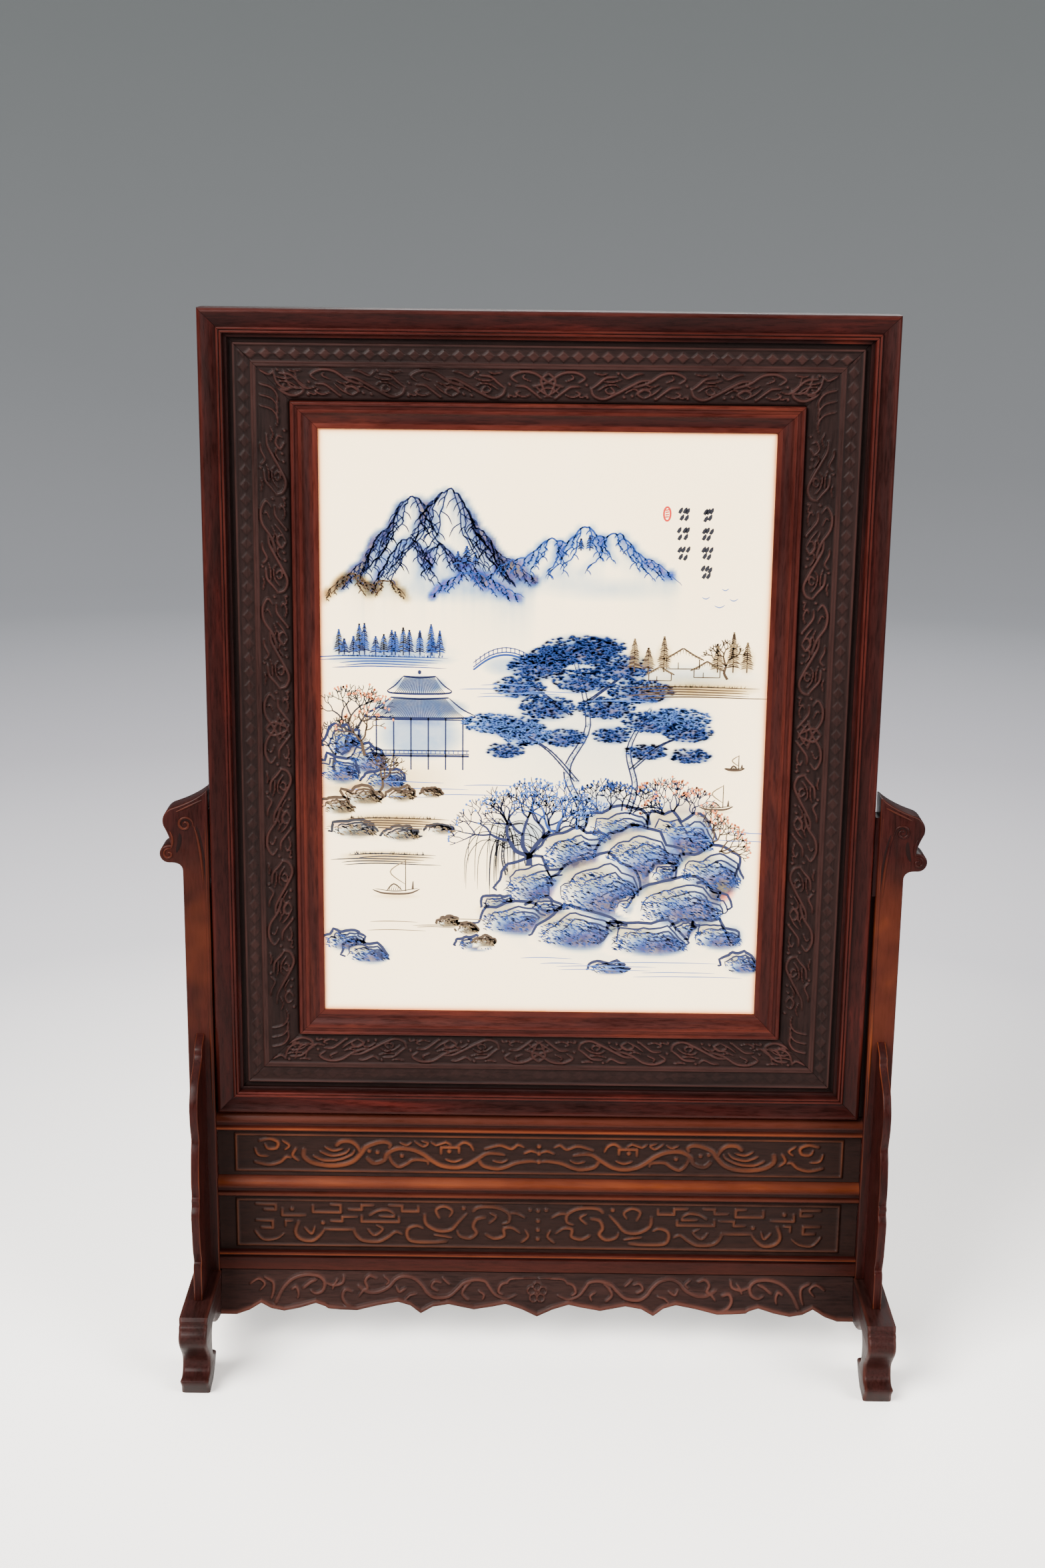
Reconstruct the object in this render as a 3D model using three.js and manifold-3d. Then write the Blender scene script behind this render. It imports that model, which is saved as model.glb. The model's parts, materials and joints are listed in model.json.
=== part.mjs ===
// A hardwood table screen: a framed porcelain plaque that slides down between the posts of a carved stand.
// Millimetres, +Z up, the front faces -Y, and the origin is on the floor under the stand's centre.

import * as THREE from 'three';
import { mergeVertices } from 'three/addons/utils/BufferGeometryUtils.js';
import Module from 'manifold-3d';

const wasm = await Module();
wasm.setup();

// Clearances, and how far a cut or a joined form runs past the face that it starts from
const FIT = 0.3;
const OVERRUN = 1;
const SCREEN_PLAY = 2;
const SCREEN_SHIFT = -1;

// The screen's outside
const SCREEN_WIDTH = 390;
const SCREEN_HEIGHT = 478.6;
const SCREEN_THICK = 20;

// The outer frame's section: widths across its face, and depths below its front
const FRAME_FACE = 16;
const FRAME_ROUND = 2.4;
const FRAME_COVE_END = 10.2;
const FRAME_COVE_DEPTH = 2.2;
const FRAME_BEAD = 3.6;
const FRAME_BEAD_DEPTH = 0.6;
const FRAME_FILLET = 1.6;
const FRAME_FILLET_DEPTH = 4;
const FRAME_WALL = 9;
const FLANGE_DEPTH = 6.7;
const BACK_ARRIS = 1;

// The carved border boards
const BORDER_GROOVE = 2.8;
const BORDER_FACE = 31.6;
const BORDER_EDGE_DEPTH = 4.6;
const BORDER_GROUND = 5.6;
const BORDER_LINE = 1.1;
const LOZENGE_BAND = 7.6;
const LOZENGE_PITCH = 8.3;
const LOZENGE_HEIGHT = 5.5;
const LOZENGE_GAP = 0.2;
const RIDGE_BAND = 3.4;
const INNER_MARGIN = 1.2;
const BOARD_THICK = 5;

// The inner moulding, its tongue under the boards, the plaque and the back board
const MOULDING_FACE = 15.2;
const MOULDING_SEAT = 6.6;
const BEAD_DEPTH = 2.2;
const CHANNEL_DEPTH = 3.2;
const FILLET_DEPTH = 2.6;
const MOULDING_BEAD = 2.4;
const MOULDING_BEAD_ROUND = 0.7;
const MOULDING_CHANNEL = 2.2;
const MOULDING_FILLET = 1.9;
const MOULDING_FILLET_ROUND = 0.3;
const MOULDING_COVE = 0.5;
const LIP_WIDTH = 2.8;
const LIP_DEPTH = 5.4;
const BACK_BOARD_THICK = 6;

// The groove in the screen's sides and the tongues on the posts
const TONGUE_PROUD = 5.5;
const TONGUE_THICK = 7;
const TONGUE_RISE = 142;
const GROOVE_SLACK = 0.5;

// The posts
const POST_WIDTH = 15.5;
const POST_DEPTH = 18;
const POST_HEIGHT = 308.6;
const POST_ARRIS = 0.8;
const POST_BEAD = 2;
const POST_BEAD_PROUD = 0.7;
const TENON_DEPTH = 16;
const TENON_WIDTH = 8;
const TENON_THICK = 12;
const UPPER_CURL_RADIUS = 8.8;
const UPPER_CURL_OUT = 2.4;
const UPPER_CURL_DROP = 19;
const LOWER_CURL_RADIUS = 5.5;
const LOWER_CURL_OUT = 8;
const LOWER_CURL_DROP = 38.8;
const CURL_NOTCH = 7;
const EYE_RADIUS = 4.6;
const EYE_OUT = 5.7;
const EYE_DROP = 1.5;

// The feet
const FOOT_WIDTH = 17;
const FOOT_HEIGHT = 51.4;
const FOOT_DEPTH = 147;

// The spandrels
const SPANDREL_THICK = 5;
const SPANDREL_HEIGHT = 157.3;
const SPANDREL_REACH = 40.2;

// The rails and panels
const RAIL_ABOVE_FOOT = 1.1;
const RAIL_DEPTH = 16;
const RAIL_LOWER_HEIGHT = 12;
const RAIL_MIDDLE_HEIGHT = 12.9;
const RAIL_UPPER_HEIGHT = 12.2;
const RAIL_TENON = 7;
const RAIL_TENON_THICK = 8;
const RAIL_SHOULDER = 2;
const RAIL_GROOVE = 1.6;
const PANEL_LOWER_OPENING = 37.3;
const PANEL_UPPER_OPENING = 30.6;
const PANEL_RECESS = 4;
const PANEL_TONGUE = 2.7;
const PANEL_TONGUE_THICK = 4;
const PANEL_END_MARGIN = 10.5;
const PANEL_BEAD = 1.8;
const PANEL_BEAD_PROUD = 1.1;
const PANEL_BEAD_MARGIN = 2.6;

// The aprons
const APRON_DEPTH = 26.6;
const APRON_THICK = 6;
const APRON_FRONT = 7;
const APRON_SLANT = 0.3;
const APRON_RIB = 3;

// The carving
const CARVING_RISE = 1.3;
const CARVING_SINK = 0.4;
const STEM_WIDTH = 2.2;
const STEM_MARGIN = 1.6;
const CURL_WIDTH = 1.7;
const BORDER_PERIOD = 76;
const FLOWER_RADIUS = 6.5;
const FLOWER_PETALS = 5;

// How many straight steps stand for a bend, a curl, a leaf, the spiral eye and a rounded outline
const STEM_STEPS = 3;
const CURL_STEPS = 4;
const LEAF_STEPS = 3;
const EYE_STEPS = 9;
const CURVE_STEPS = 5;

// How high the tip of a carved line stands, as a share of its full rise
const TIP_RISE = 0.6;

// A curl in a bend. Its radius is a share of the stem's swing or of the bay, whichever is less. It starts
// and winds by shares of half a turn. Its place and its eye are in shares of the radius and the swing
const CURL = { ofSwing: 0.62, ofBay: 0.4, fromEnd: 1.4, drop: 0.12, eye: 0.3, start: 0.05, sweep: 1.3 };

// A leaf beside a curl, in shares of the bay and of the swing, where a bay is wider than so many swings
const LEAF = { back: 0.2, drop: 0.35, length: 0.3, height: 0.75, start: 0.12, bay: 4 };

// Where a post's two lobes start and end, and how far its spiral eye winds, in shares of half a turn
const LOBES = { lowerStart: -0.5, lowerEnd: 0.58, upperStart: -0.1, upperEnd: 0.36 };
const EYE = { start: 1.1, sweep: -2.6, inner: 0.2 };

// The fretwork at the ends of the lower panel, in shares of half its field and of its height
const FRET_PLACES = [0.68, 0.82, 0.95];
const FRET = { length: 0.12, drop: 0.6, hook: 0.6 };

// The apron's carved field and a petal of its flower, in shares of the apron's depth and the flower's radius
const APRON_FIELD = 0.68;
const PETAL_REACHES = [0.25, 0.6, 1];
const PETAL_WIDTH = 0.7;

// Places worked out from the sizes above
const POST_INNER = SCREEN_WIDTH / 2 + SCREEN_PLAY;
const POST_MIDDLE = POST_INNER + POST_WIDTH / 2;
const RAIL_LOWER_BOTTOM = FOOT_HEIGHT + RAIL_ABOVE_FOOT;
const RAIL_MIDDLE_BOTTOM = RAIL_LOWER_BOTTOM + RAIL_LOWER_HEIGHT + PANEL_LOWER_OPENING;
const RAIL_UPPER_BOTTOM = RAIL_MIDDLE_BOTTOM + RAIL_MIDDLE_HEIGHT + PANEL_UPPER_OPENING;
const SCREEN_BOTTOM = RAIL_UPPER_BOTTOM + RAIL_UPPER_HEIGHT + FIT;
const SCREEN_MIDDLE = SCREEN_BOTTOM + SCREEN_HEIGHT / 2;
const TONGUE_TOP = SCREEN_BOTTOM + TONGUE_RISE;
const BORDER_OUTER = FRAME_FACE + BORDER_GROOVE;
const BORDER_INNER = BORDER_OUTER + BORDER_FACE;
const MOULDING_OUTER = BORDER_INNER + FIT;
const SIGHT_EDGE = MOULDING_OUTER + MOULDING_FACE;
const SEAT_DEPTH = FLANGE_DEPTH + FIT;
const BOARD_BACK = SEAT_DEPTH + BOARD_THICK;

const WOOD = { color: 0x3a2523, roughness: 0.45, metalness: 0 };
const RED_WOOD = { color: 0x6b2f24, roughness: 0.4, metalness: 0 };
const PORCELAIN = { color: 0xf3ebdf, roughness: 0.25, metalness: 0 };

const screen = new THREE.Group();
screen.name = 'hardwood_table_screen';

// Basic conversions

function solidOf(geometry) {
  const bare = geometry.index ? geometry.toNonIndexed() : geometry.clone();
  bare.deleteAttribute('normal');
  bare.deleteAttribute('uv');
  const merged = mergeVertices(bare, 1e-4);
  const mesh = new wasm.Mesh({
    numProp: 3,
    vertProperties: new Float32Array(merged.attributes.position.array),
    triVerts: new Uint32Array(merged.index.array),
  });
  return new wasm.Manifold(mesh);
}

function geometryOf(solid) {
  const mesh = solid.getMesh();
  const geometry = new THREE.BufferGeometry();
  geometry.setAttribute('position', new THREE.BufferAttribute(new Float32Array(mesh.vertProperties), 3));
  geometry.setIndex(new THREE.BufferAttribute(new Uint32Array(mesh.triVerts), 1));
  geometry.computeVertexNormals();
  return geometry;
}

function joined(solids) {
  return solids.reduce((whole, solid) => whole.add(solid));
}

function addPiece(name, geometry, finish) {
  const mesh = new THREE.Mesh(geometry, new THREE.MeshStandardMaterial(finish));
  mesh.name = name;
  screen.add(mesh);
  return mesh;
}

function box(x0, x1, y0, y1, z0, z1) {
  const geometry = new THREE.BoxGeometry(x1 - x0, y1 - y0, z1 - z0);
  geometry.translate((x0 + x1) / 2, (y0 + y1) / 2, (z0 + z1) / 2);
  return geometry;
}

// A closed outline from corner points
function outline(points) {
  return new THREE.Shape(points.map(([x, y]) => new THREE.Vector2(x, y)));
}

const AXIS_X = new THREE.Vector3(1, 0, 0);
const AXIS_Y = new THREE.Vector3(0, 1, 0);
const AXIS_Z = new THREE.Vector3(0, 0, 1);
const TO_FRONT = new THREE.Matrix4().makeBasis(AXIS_X, AXIS_Z, AXIS_Y.clone().negate());
const TO_SIDE = new THREE.Matrix4().makeBasis(AXIS_Y, AXIS_Z, AXIS_X);

// An outline in (x, z) made solid from y = front to y = back
function frontPlate(shape, front, back) {
  const geometry = new THREE.ExtrudeGeometry(shape, {
    depth: back - front,
    steps: 1,
    bevelEnabled: false,
    curveSegments: CURVE_STEPS,
  });
  geometry.applyMatrix4(TO_FRONT);
  return geometry.translate(0, back, 0);
}

// An outline in (y, z) made solid across x
function sidePlate(shape, x0, x1) {
  const geometry = new THREE.ExtrudeGeometry(shape, {
    depth: x1 - x0,
    steps: 1,
    bevelEnabled: false,
    curveSegments: CURVE_STEPS,
  });
  geometry.applyMatrix4(TO_SIDE);
  return geometry.translate(x0, 0, 0);
}

// A bar of the screen, in the place of the top one: its section is in (inward, depth), and its ends are
// mitred so that it meets its neighbours at 45 degrees with half the fit on each side
function mitredBar(section, length) {
  const geometry = new THREE.ExtrudeGeometry(section, { depth: 1, steps: 1, bevelEnabled: false });
  const position = geometry.attributes.position;
  const half = length / 2 - FIT / Math.SQRT2;
  for (let i = 0; i < position.count; i += 1) {
    const inward = position.getX(i);
    const depth = position.getY(i);
    const end = position.getZ(i) * 2 - 1;
    position.setXYZ(i, end * (half - inward), depth, -inward);
  }
  return geometry;
}

// The four sides of the screen, each as a turn of the top one about the screen's middle
const SIDES = [
  { name: 'top', turn: 0, length: SCREEN_WIDTH, reach: SCREEN_HEIGHT / 2 },
  { name: 'right', turn: Math.PI / 2, length: SCREEN_HEIGHT, reach: SCREEN_WIDTH / 2 },
  { name: 'bottom', turn: Math.PI, length: SCREEN_WIDTH, reach: SCREEN_HEIGHT / 2 },
  { name: 'left', turn: -Math.PI / 2, length: SCREEN_HEIGHT, reach: SCREEN_WIDTH / 2 },
];

function placeSide(geometry, side) {
  geometry.translate(0, 0, side.reach);
  geometry.rotateY(side.turn);
  return geometry.translate(SCREEN_SHIFT, -SCREEN_THICK / 2, SCREEN_MIDDLE);
}

// Carving

// A line of carving: a ridge along a path in (u, v), standing out along +h, thinner at its ends
function ridge(path, width, rise, thinStart, thinEnd) {
  const positions = [];
  const index = [];
  const last = path.length - 1;
  path.forEach((point, i) => {
    const before = path[Math.max(i - 1, 0)];
    const after = path[Math.min(i + 1, last)];
    const across = new THREE.Vector2(before.y - after.y, after.x - before.x).normalize();
    const share = i / last;
    const swell = Math.sin(Math.PI * share) ** 0.5;
    const end = share < 0.5 ? thinStart : thinEnd;
    const half = (width / 2) * (end + (1 - end) * swell);
    const crest = rise * (TIP_RISE + (1 - TIP_RISE) * swell);
    positions.push(point.x + across.x * half, point.y + across.y * half, -CARVING_SINK);
    positions.push(point.x, point.y, crest);
    positions.push(point.x - across.x * half, point.y - across.y * half, -CARVING_SINK);
  });
  for (let i = 0; i < last; i += 1) {
    for (let side = 0; side < 3; side += 1) {
      const a = 3 * i + side;
      const b = 3 * i + ((side + 1) % 3);
      index.push(a, b, b + 3, a, b + 3, a + 3);
    }
  }
  index.push(0, 2, 1);
  index.push(3 * last, 3 * last + 1, 3 * last + 2);
  const geometry = new THREE.BufferGeometry();
  geometry.setAttribute('position', new THREE.Float32BufferAttribute(positions, 3));
  geometry.setIndex(index);
  return geometry;
}

// A stem that swings between turning points, each given as [u, side]
function stemPath(turns, swing, middle, stepsPerSwing) {
  const path = [];
  for (let i = 0; i + 1 < turns.length; i += 1) {
    const [u0, side0] = turns[i];
    const [u1, side1] = turns[i + 1];
    const first = i === 0 ? 0 : 1;
    for (let k = first; k <= stepsPerSwing; k += 1) {
      const share = k / stepsPerSwing;
      const ease = (1 - Math.cos(Math.PI * share)) / 2;
      const side = side0 + (side1 - side0) * ease;
      path.push(new THREE.Vector2(u0 + (u1 - u0) * share, middle + swing * side));
    }
  }
  return path;
}

// A curl that winds inward round a centre
function curlPath(u, v, radius, eye, startAngle, sweep, steps) {
  const path = [];
  for (let i = 0; i <= steps; i += 1) {
    const share = i / steps;
    const angle = startAngle + sweep * share;
    const r = radius + (eye - radius) * share;
    path.push(new THREE.Vector2(u + r * Math.cos(angle), v + r * Math.sin(angle)));
  }
  return path;
}

// An arc of leaf that lies along the inside of a bend
function leafPath(u, v, reachU, reachV, side) {
  const path = [];
  for (let i = 0; i <= LEAF_STEPS; i += 1) {
    const angle = side * Math.PI * (LEAF.start + ((1 - 2 * LEAF.start) * i) / LEAF_STEPS);
    path.push(new THREE.Vector2(u + reachU * Math.cos(angle), v + reachV * Math.sin(angle)));
  }
  return path;
}

// Running scrollwork: a swinging stem, and in the hollow of every bend a curl that springs from it,
// with a leaf beside the curl where leafy is true
function scrollwork(turns, swing, middle, leafy) {
  const strokes = [ridge(stemPath(turns, swing, middle, STEM_STEPS), STEM_WIDTH, CARVING_RISE, 0.5, 0.5)];
  turns.slice(1, -1).forEach(([u, side], i) => {
    const bay = Math.abs(turns[i + 2][0] - turns[i][0]) / 2;
    const way = Math.sign(u) || 1;
    const radius = Math.min(swing * CURL.ofSwing, bay * CURL.ofBay);
    const start = way > 0 ? -CURL.start : 1 + CURL.start;
    const curlU = u + way * Math.max(0, bay / 2 - radius * CURL.fromEnd);
    const curlV = middle - side * swing * CURL.drop;
    const sweep = -way * side * Math.PI * CURL.sweep;
    const curl = curlPath(curlU, curlV, radius, radius * CURL.eye, side * start * Math.PI, sweep, CURL_STEPS);
    strokes.push(ridge(curl, CURL_WIDTH, CARVING_RISE, 0.6, 0.8));
    if (leafy && bay > swing * LEAF.bay) {
      const leafU = u - way * bay * LEAF.back;
      const leafV = middle - side * swing * LEAF.drop;
      const leaf = leafPath(leafU, leafV, bay * LEAF.length, swing * LEAF.height, side);
      strokes.push(ridge(leaf, CURL_WIDTH, CARVING_RISE, 0.3, 0.3));
    }
  });
  return strokes;
}

// Turning points at an even pitch, mirrored about the middle
function evenTurns(halfLength, pitch) {
  const count = Math.max(1, Math.round(halfLength / pitch));
  const turns = [];
  for (let i = -count; i <= count; i += 1) {
    const side = Math.abs(i) % 2 === 0 ? 1 : -1;
    turns.push([(i * halfLength) / count, side]);
  }
  return turns;
}

// Carving strokes set on a plate's front face, at y = ground
function onFront(strokes, ground) {
  return strokes.map((stroke) => {
    stroke.applyMatrix4(TO_FRONT);
    stroke.translate(0, ground, 0);
    return solidOf(stroke);
  });
}

// The screen

function frameSection() {
  const beadStart = FRAME_COVE_END;
  const beadEnd = beadStart + FRAME_BEAD;
  const beadMiddle = beadStart + FRAME_BEAD / 2;
  const quarter = FRAME_BEAD / 4;
  const arrisCut = FRAME_ROUND * (1 - Math.SQRT1_2);
  const shape = new THREE.Shape();
  shape.moveTo(0, SCREEN_THICK - BACK_ARRIS);
  shape.lineTo(0, FRAME_ROUND);
  shape.lineTo(arrisCut, arrisCut);
  shape.lineTo(FRAME_ROUND, 0);
  shape.lineTo((FRAME_ROUND + beadStart) / 2, FRAME_COVE_DEPTH * 0.75);
  shape.lineTo(beadStart, FRAME_COVE_DEPTH);
  shape.lineTo(beadStart + quarter * 0.4, FRAME_BEAD_DEPTH * 1.5);
  shape.lineTo(beadStart + quarter, FRAME_BEAD_DEPTH);
  shape.lineTo(beadMiddle, FRAME_BEAD_DEPTH * 2.5);
  shape.lineTo(beadEnd - quarter, FRAME_BEAD_DEPTH);
  shape.lineTo(beadEnd, FRAME_BEAD_DEPTH * 2);
  shape.lineTo(FRAME_FACE - FRAME_FILLET, FRAME_FILLET_DEPTH);
  shape.lineTo(FRAME_FACE, FRAME_FILLET_DEPTH);
  shape.lineTo(FRAME_FACE, FLANGE_DEPTH);
  shape.lineTo(FRAME_WALL, FLANGE_DEPTH);
  shape.lineTo(FRAME_WALL, SCREEN_THICK - BACK_ARRIS);
  shape.lineTo(FRAME_WALL - BACK_ARRIS, SCREEN_THICK);
  shape.lineTo(BACK_ARRIS, SCREEN_THICK);
  return shape;
}

function borderSection() {
  const lozengeStart = BORDER_OUTER + 2 * BORDER_LINE;
  const ridgeStart = lozengeStart + LOZENGE_BAND;
  const ridgeEnd = ridgeStart + RIDGE_BAND;
  const ridgeMiddle = (ridgeStart + ridgeEnd) / 2;
  const quarter = RIDGE_BAND / 4;
  return outline([
    [FRAME_WALL + FIT, BOARD_BACK],
    [FRAME_WALL + FIT, SEAT_DEPTH],
    [BORDER_OUTER, SEAT_DEPTH],
    [BORDER_OUTER, BORDER_EDGE_DEPTH],
    [BORDER_OUTER + BORDER_LINE, BORDER_EDGE_DEPTH],
    [lozengeStart, BORDER_GROUND],
    [ridgeStart, BORDER_GROUND],
    [ridgeStart + quarter, BORDER_EDGE_DEPTH],
    [ridgeMiddle, (BORDER_EDGE_DEPTH + BORDER_GROUND) / 2],
    [ridgeEnd - quarter, BORDER_EDGE_DEPTH],
    [ridgeEnd, BORDER_GROUND],
    [BORDER_INNER - INNER_MARGIN, BORDER_GROUND],
    [BORDER_INNER, (BORDER_GROUND + SEAT_DEPTH) / 2],
    [BORDER_INNER, SEAT_DEPTH],
    [BORDER_INNER + MOULDING_SEAT, SEAT_DEPTH],
    [BORDER_INNER + MOULDING_SEAT, BOARD_BACK],
  ]);
}

function mouldingSection() {
  const beadEnd = MOULDING_OUTER + MOULDING_BEAD;
  const channelEnd = beadEnd + MOULDING_CHANNEL;
  const filletEnd = channelEnd + MOULDING_FILLET;
  const lipStart = SIGHT_EDGE - LIP_WIDTH;
  return outline([
    [MOULDING_OUTER, FLANGE_DEPTH],
    [MOULDING_OUTER, CHANNEL_DEPTH],
    [MOULDING_OUTER + MOULDING_BEAD_ROUND, BEAD_DEPTH],
    [beadEnd - MOULDING_BEAD_ROUND, BEAD_DEPTH],
    [beadEnd, CHANNEL_DEPTH],
    [channelEnd, CHANNEL_DEPTH],
    [channelEnd + MOULDING_FILLET_ROUND, FILLET_DEPTH],
    [filletEnd, FILLET_DEPTH],
    [(filletEnd + lipStart) / 2, (FILLET_DEPTH + LIP_DEPTH) / 2 + MOULDING_COVE],
    [lipStart, LIP_DEPTH],
    [SIGHT_EDGE, LIP_DEPTH],
    [SIGHT_EDGE, FLANGE_DEPTH],
  ]);
}

function lozengeRow(halfLength, ground) {
  const middle = BORDER_OUTER + 2 * BORDER_LINE + LOZENGE_BAND / 2;
  const room = halfLength - middle - LOZENGE_PITCH / 2;
  const count = Math.floor(room / LOZENGE_PITCH);
  const solids = [];
  for (let i = -count; i <= count; i += 1) {
    const point = new THREE.ConeGeometry(0.5, CARVING_RISE + CARVING_SINK, 4, 1);
    point.rotateX(Math.PI / 2);
    point.scale(LOZENGE_PITCH - LOZENGE_GAP, LOZENGE_HEIGHT, 1);
    point.translate(i * LOZENGE_PITCH, -middle, (CARVING_RISE - CARVING_SINK) / 2);
    point.applyMatrix4(TO_FRONT);
    point.translate(0, ground, 0);
    solids.push(solidOf(point));
  }
  return solids;
}

// The carving of one board, cut off at the mitres as the board is
function borderCarving(side) {
  const fieldStart = BORDER_OUTER + 2 * BORDER_LINE + LOZENGE_BAND + RIDGE_BAND;
  const fieldEnd = BORDER_INNER - INNER_MARGIN;
  const middle = -(fieldStart + fieldEnd) / 2;
  const swing = (fieldEnd - fieldStart) / 2 - STEM_MARGIN;
  const turns = evenTurns(side.length / 2 + middle, BORDER_PERIOD / 2);
  const scrolls = onFront(scrollwork(turns, swing, middle, false), BORDER_GROUND);
  const rows = side.name === 'top' ? lozengeRow(side.length / 2, BORDER_GROUND) : [];
  const band = outline([
    [BORDER_OUTER, 0], [BORDER_INNER, 0], [BORDER_INNER, SEAT_DEPTH], [BORDER_OUTER, SEAT_DEPTH],
  ]);
  const zone = solidOf(mitredBar(band, side.length));
  return joined([...scrolls, ...rows]).intersect(zone);
}

SIDES.forEach((side) => {
  const frame = solidOf(placeSide(mitredBar(frameSection(), side.length), side));
  const grooveHalf = TONGUE_THICK / 2 + FIT;
  const grooveFloor = SCREEN_WIDTH / 2 - TONGUE_PROUD - GROOVE_SLACK;
  const grooves = joined([-1, 1].map((hand) => {
    const inner = SCREEN_SHIFT + hand * grooveFloor;
    const outer = SCREEN_SHIFT + hand * SCREEN_WIDTH;
    const low = Math.min(inner, outer);
    const high = Math.max(inner, outer);
    const cut = box(low, high, -grooveHalf, grooveHalf, SCREEN_BOTTOM - OVERRUN, TONGUE_TOP + FIT);
    return solidOf(cut);
  }));
  const framePiece = side.name === 'top' ? frame : frame.subtract(grooves);
  addPiece(`frame_${side.name}`, geometryOf(framePiece), WOOD);

  const board = solidOf(mitredBar(borderSection(), side.length));
  const carved = geometryOf(board.add(borderCarving(side)));
  addPiece(`border_${side.name}`, placeSide(carved, side), WOOD);

  const moulding = placeSide(mitredBar(mouldingSection(), side.length), side);
  addPiece(`moulding_${side.name}`, moulding, RED_WOOD);
});

function screenSlab(edge, front, back) {
  const halfWidth = SCREEN_WIDTH / 2 - edge;
  const halfHeight = SCREEN_HEIGHT / 2 - edge;
  const slab = box(-halfWidth, halfWidth, front, back, -halfHeight, halfHeight);
  return slab.translate(SCREEN_SHIFT, -SCREEN_THICK / 2, SCREEN_MIDDLE);
}

const plaqueEdge = BORDER_INNER + MOULDING_SEAT + FIT;
const backFront = BOARD_BACK + FIT;
addPiece('plaque', screenSlab(plaqueEdge, SEAT_DEPTH, BOARD_BACK), PORCELAIN);
addPiece('back_board', screenSlab(FRAME_WALL + FIT, backFront, backFront + BACK_BOARD_THICK), WOOD);

// The stand

// The rails, from the floor up. Each front profile is a list of [share of height, depth below the front]
const FLAT_FACE_SHARES = [
  [0, 0.8], [0.06, 0], [0.72, 0], [0.76, 1], [0.8, 1], [0.86, 0], [0.96, 0], [1, 0.6],
];
const BEADED_FACE_SHARES = [
  [0, 0.6], [0.06, 0], [0.22, 0], [0.28, 1], [0.4, 1], [0.45, 0.2], [0.7, 0.5], [1, 3],
];
const RAILS = [
  { name: 'lower', bottom: RAIL_LOWER_BOTTOM, height: RAIL_LOWER_HEIGHT, face: FLAT_FACE_SHARES },
  { name: 'middle', bottom: RAIL_MIDDLE_BOTTOM, height: RAIL_MIDDLE_HEIGHT, face: BEADED_FACE_SHARES },
  { name: 'upper', bottom: RAIL_UPPER_BOTTOM, height: RAIL_UPPER_HEIGHT, face: BEADED_FACE_SHARES },
];

// The openings between the rails, where the panels go
const OPENINGS = [
  { bottom: RAIL_LOWER_BOTTOM + RAIL_LOWER_HEIGHT, top: RAIL_MIDDLE_BOTTOM },
  { bottom: RAIL_MIDDLE_BOTTOM + RAIL_MIDDLE_HEIGHT, top: RAIL_UPPER_BOTTOM },
];

// The right-hand post seen from the front: straight sides, then two lobes that curl outward at the top
function postShape() {
  const outer = POST_INNER + POST_WIDTH;
  const top = FOOT_HEIGHT + FIT + POST_HEIGHT;
  const upperX = outer + UPPER_CURL_OUT;
  const upperZ = top - UPPER_CURL_DROP;
  const lowerX = outer + LOWER_CURL_OUT;
  const lowerZ = top - LOWER_CURL_DROP;
  const neckZ = lowerZ - LOWER_CURL_RADIUS;
  const shape = new THREE.Shape();
  shape.moveTo(POST_INNER, FOOT_HEIGHT + FIT);
  shape.lineTo(outer, FOOT_HEIGHT + FIT);
  shape.lineTo(outer, neckZ - LOWER_CURL_RADIUS);
  shape.quadraticCurveTo(outer, neckZ, lowerX, neckZ);
  const lowerEnd = Math.PI * LOBES.lowerEnd;
  const upperStart = Math.PI * LOBES.upperStart;
  shape.absarc(lowerX, lowerZ, LOWER_CURL_RADIUS, Math.PI * LOBES.lowerStart, lowerEnd, false);
  shape.quadraticCurveTo(
    outer + CURL_NOTCH, upperZ - UPPER_CURL_RADIUS,
    upperX + UPPER_CURL_RADIUS * Math.cos(upperStart), upperZ + UPPER_CURL_RADIUS * Math.sin(upperStart),
  );
  shape.absarc(upperX, upperZ, UPPER_CURL_RADIUS, upperStart, Math.PI * LOBES.upperEnd, false);
  shape.quadraticCurveTo(POST_MIDDLE, top - UPPER_CURL_DROP / 3, POST_INNER + POST_ARRIS, top);
  shape.lineTo(POST_INNER, top);
  return shape;
}

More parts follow.
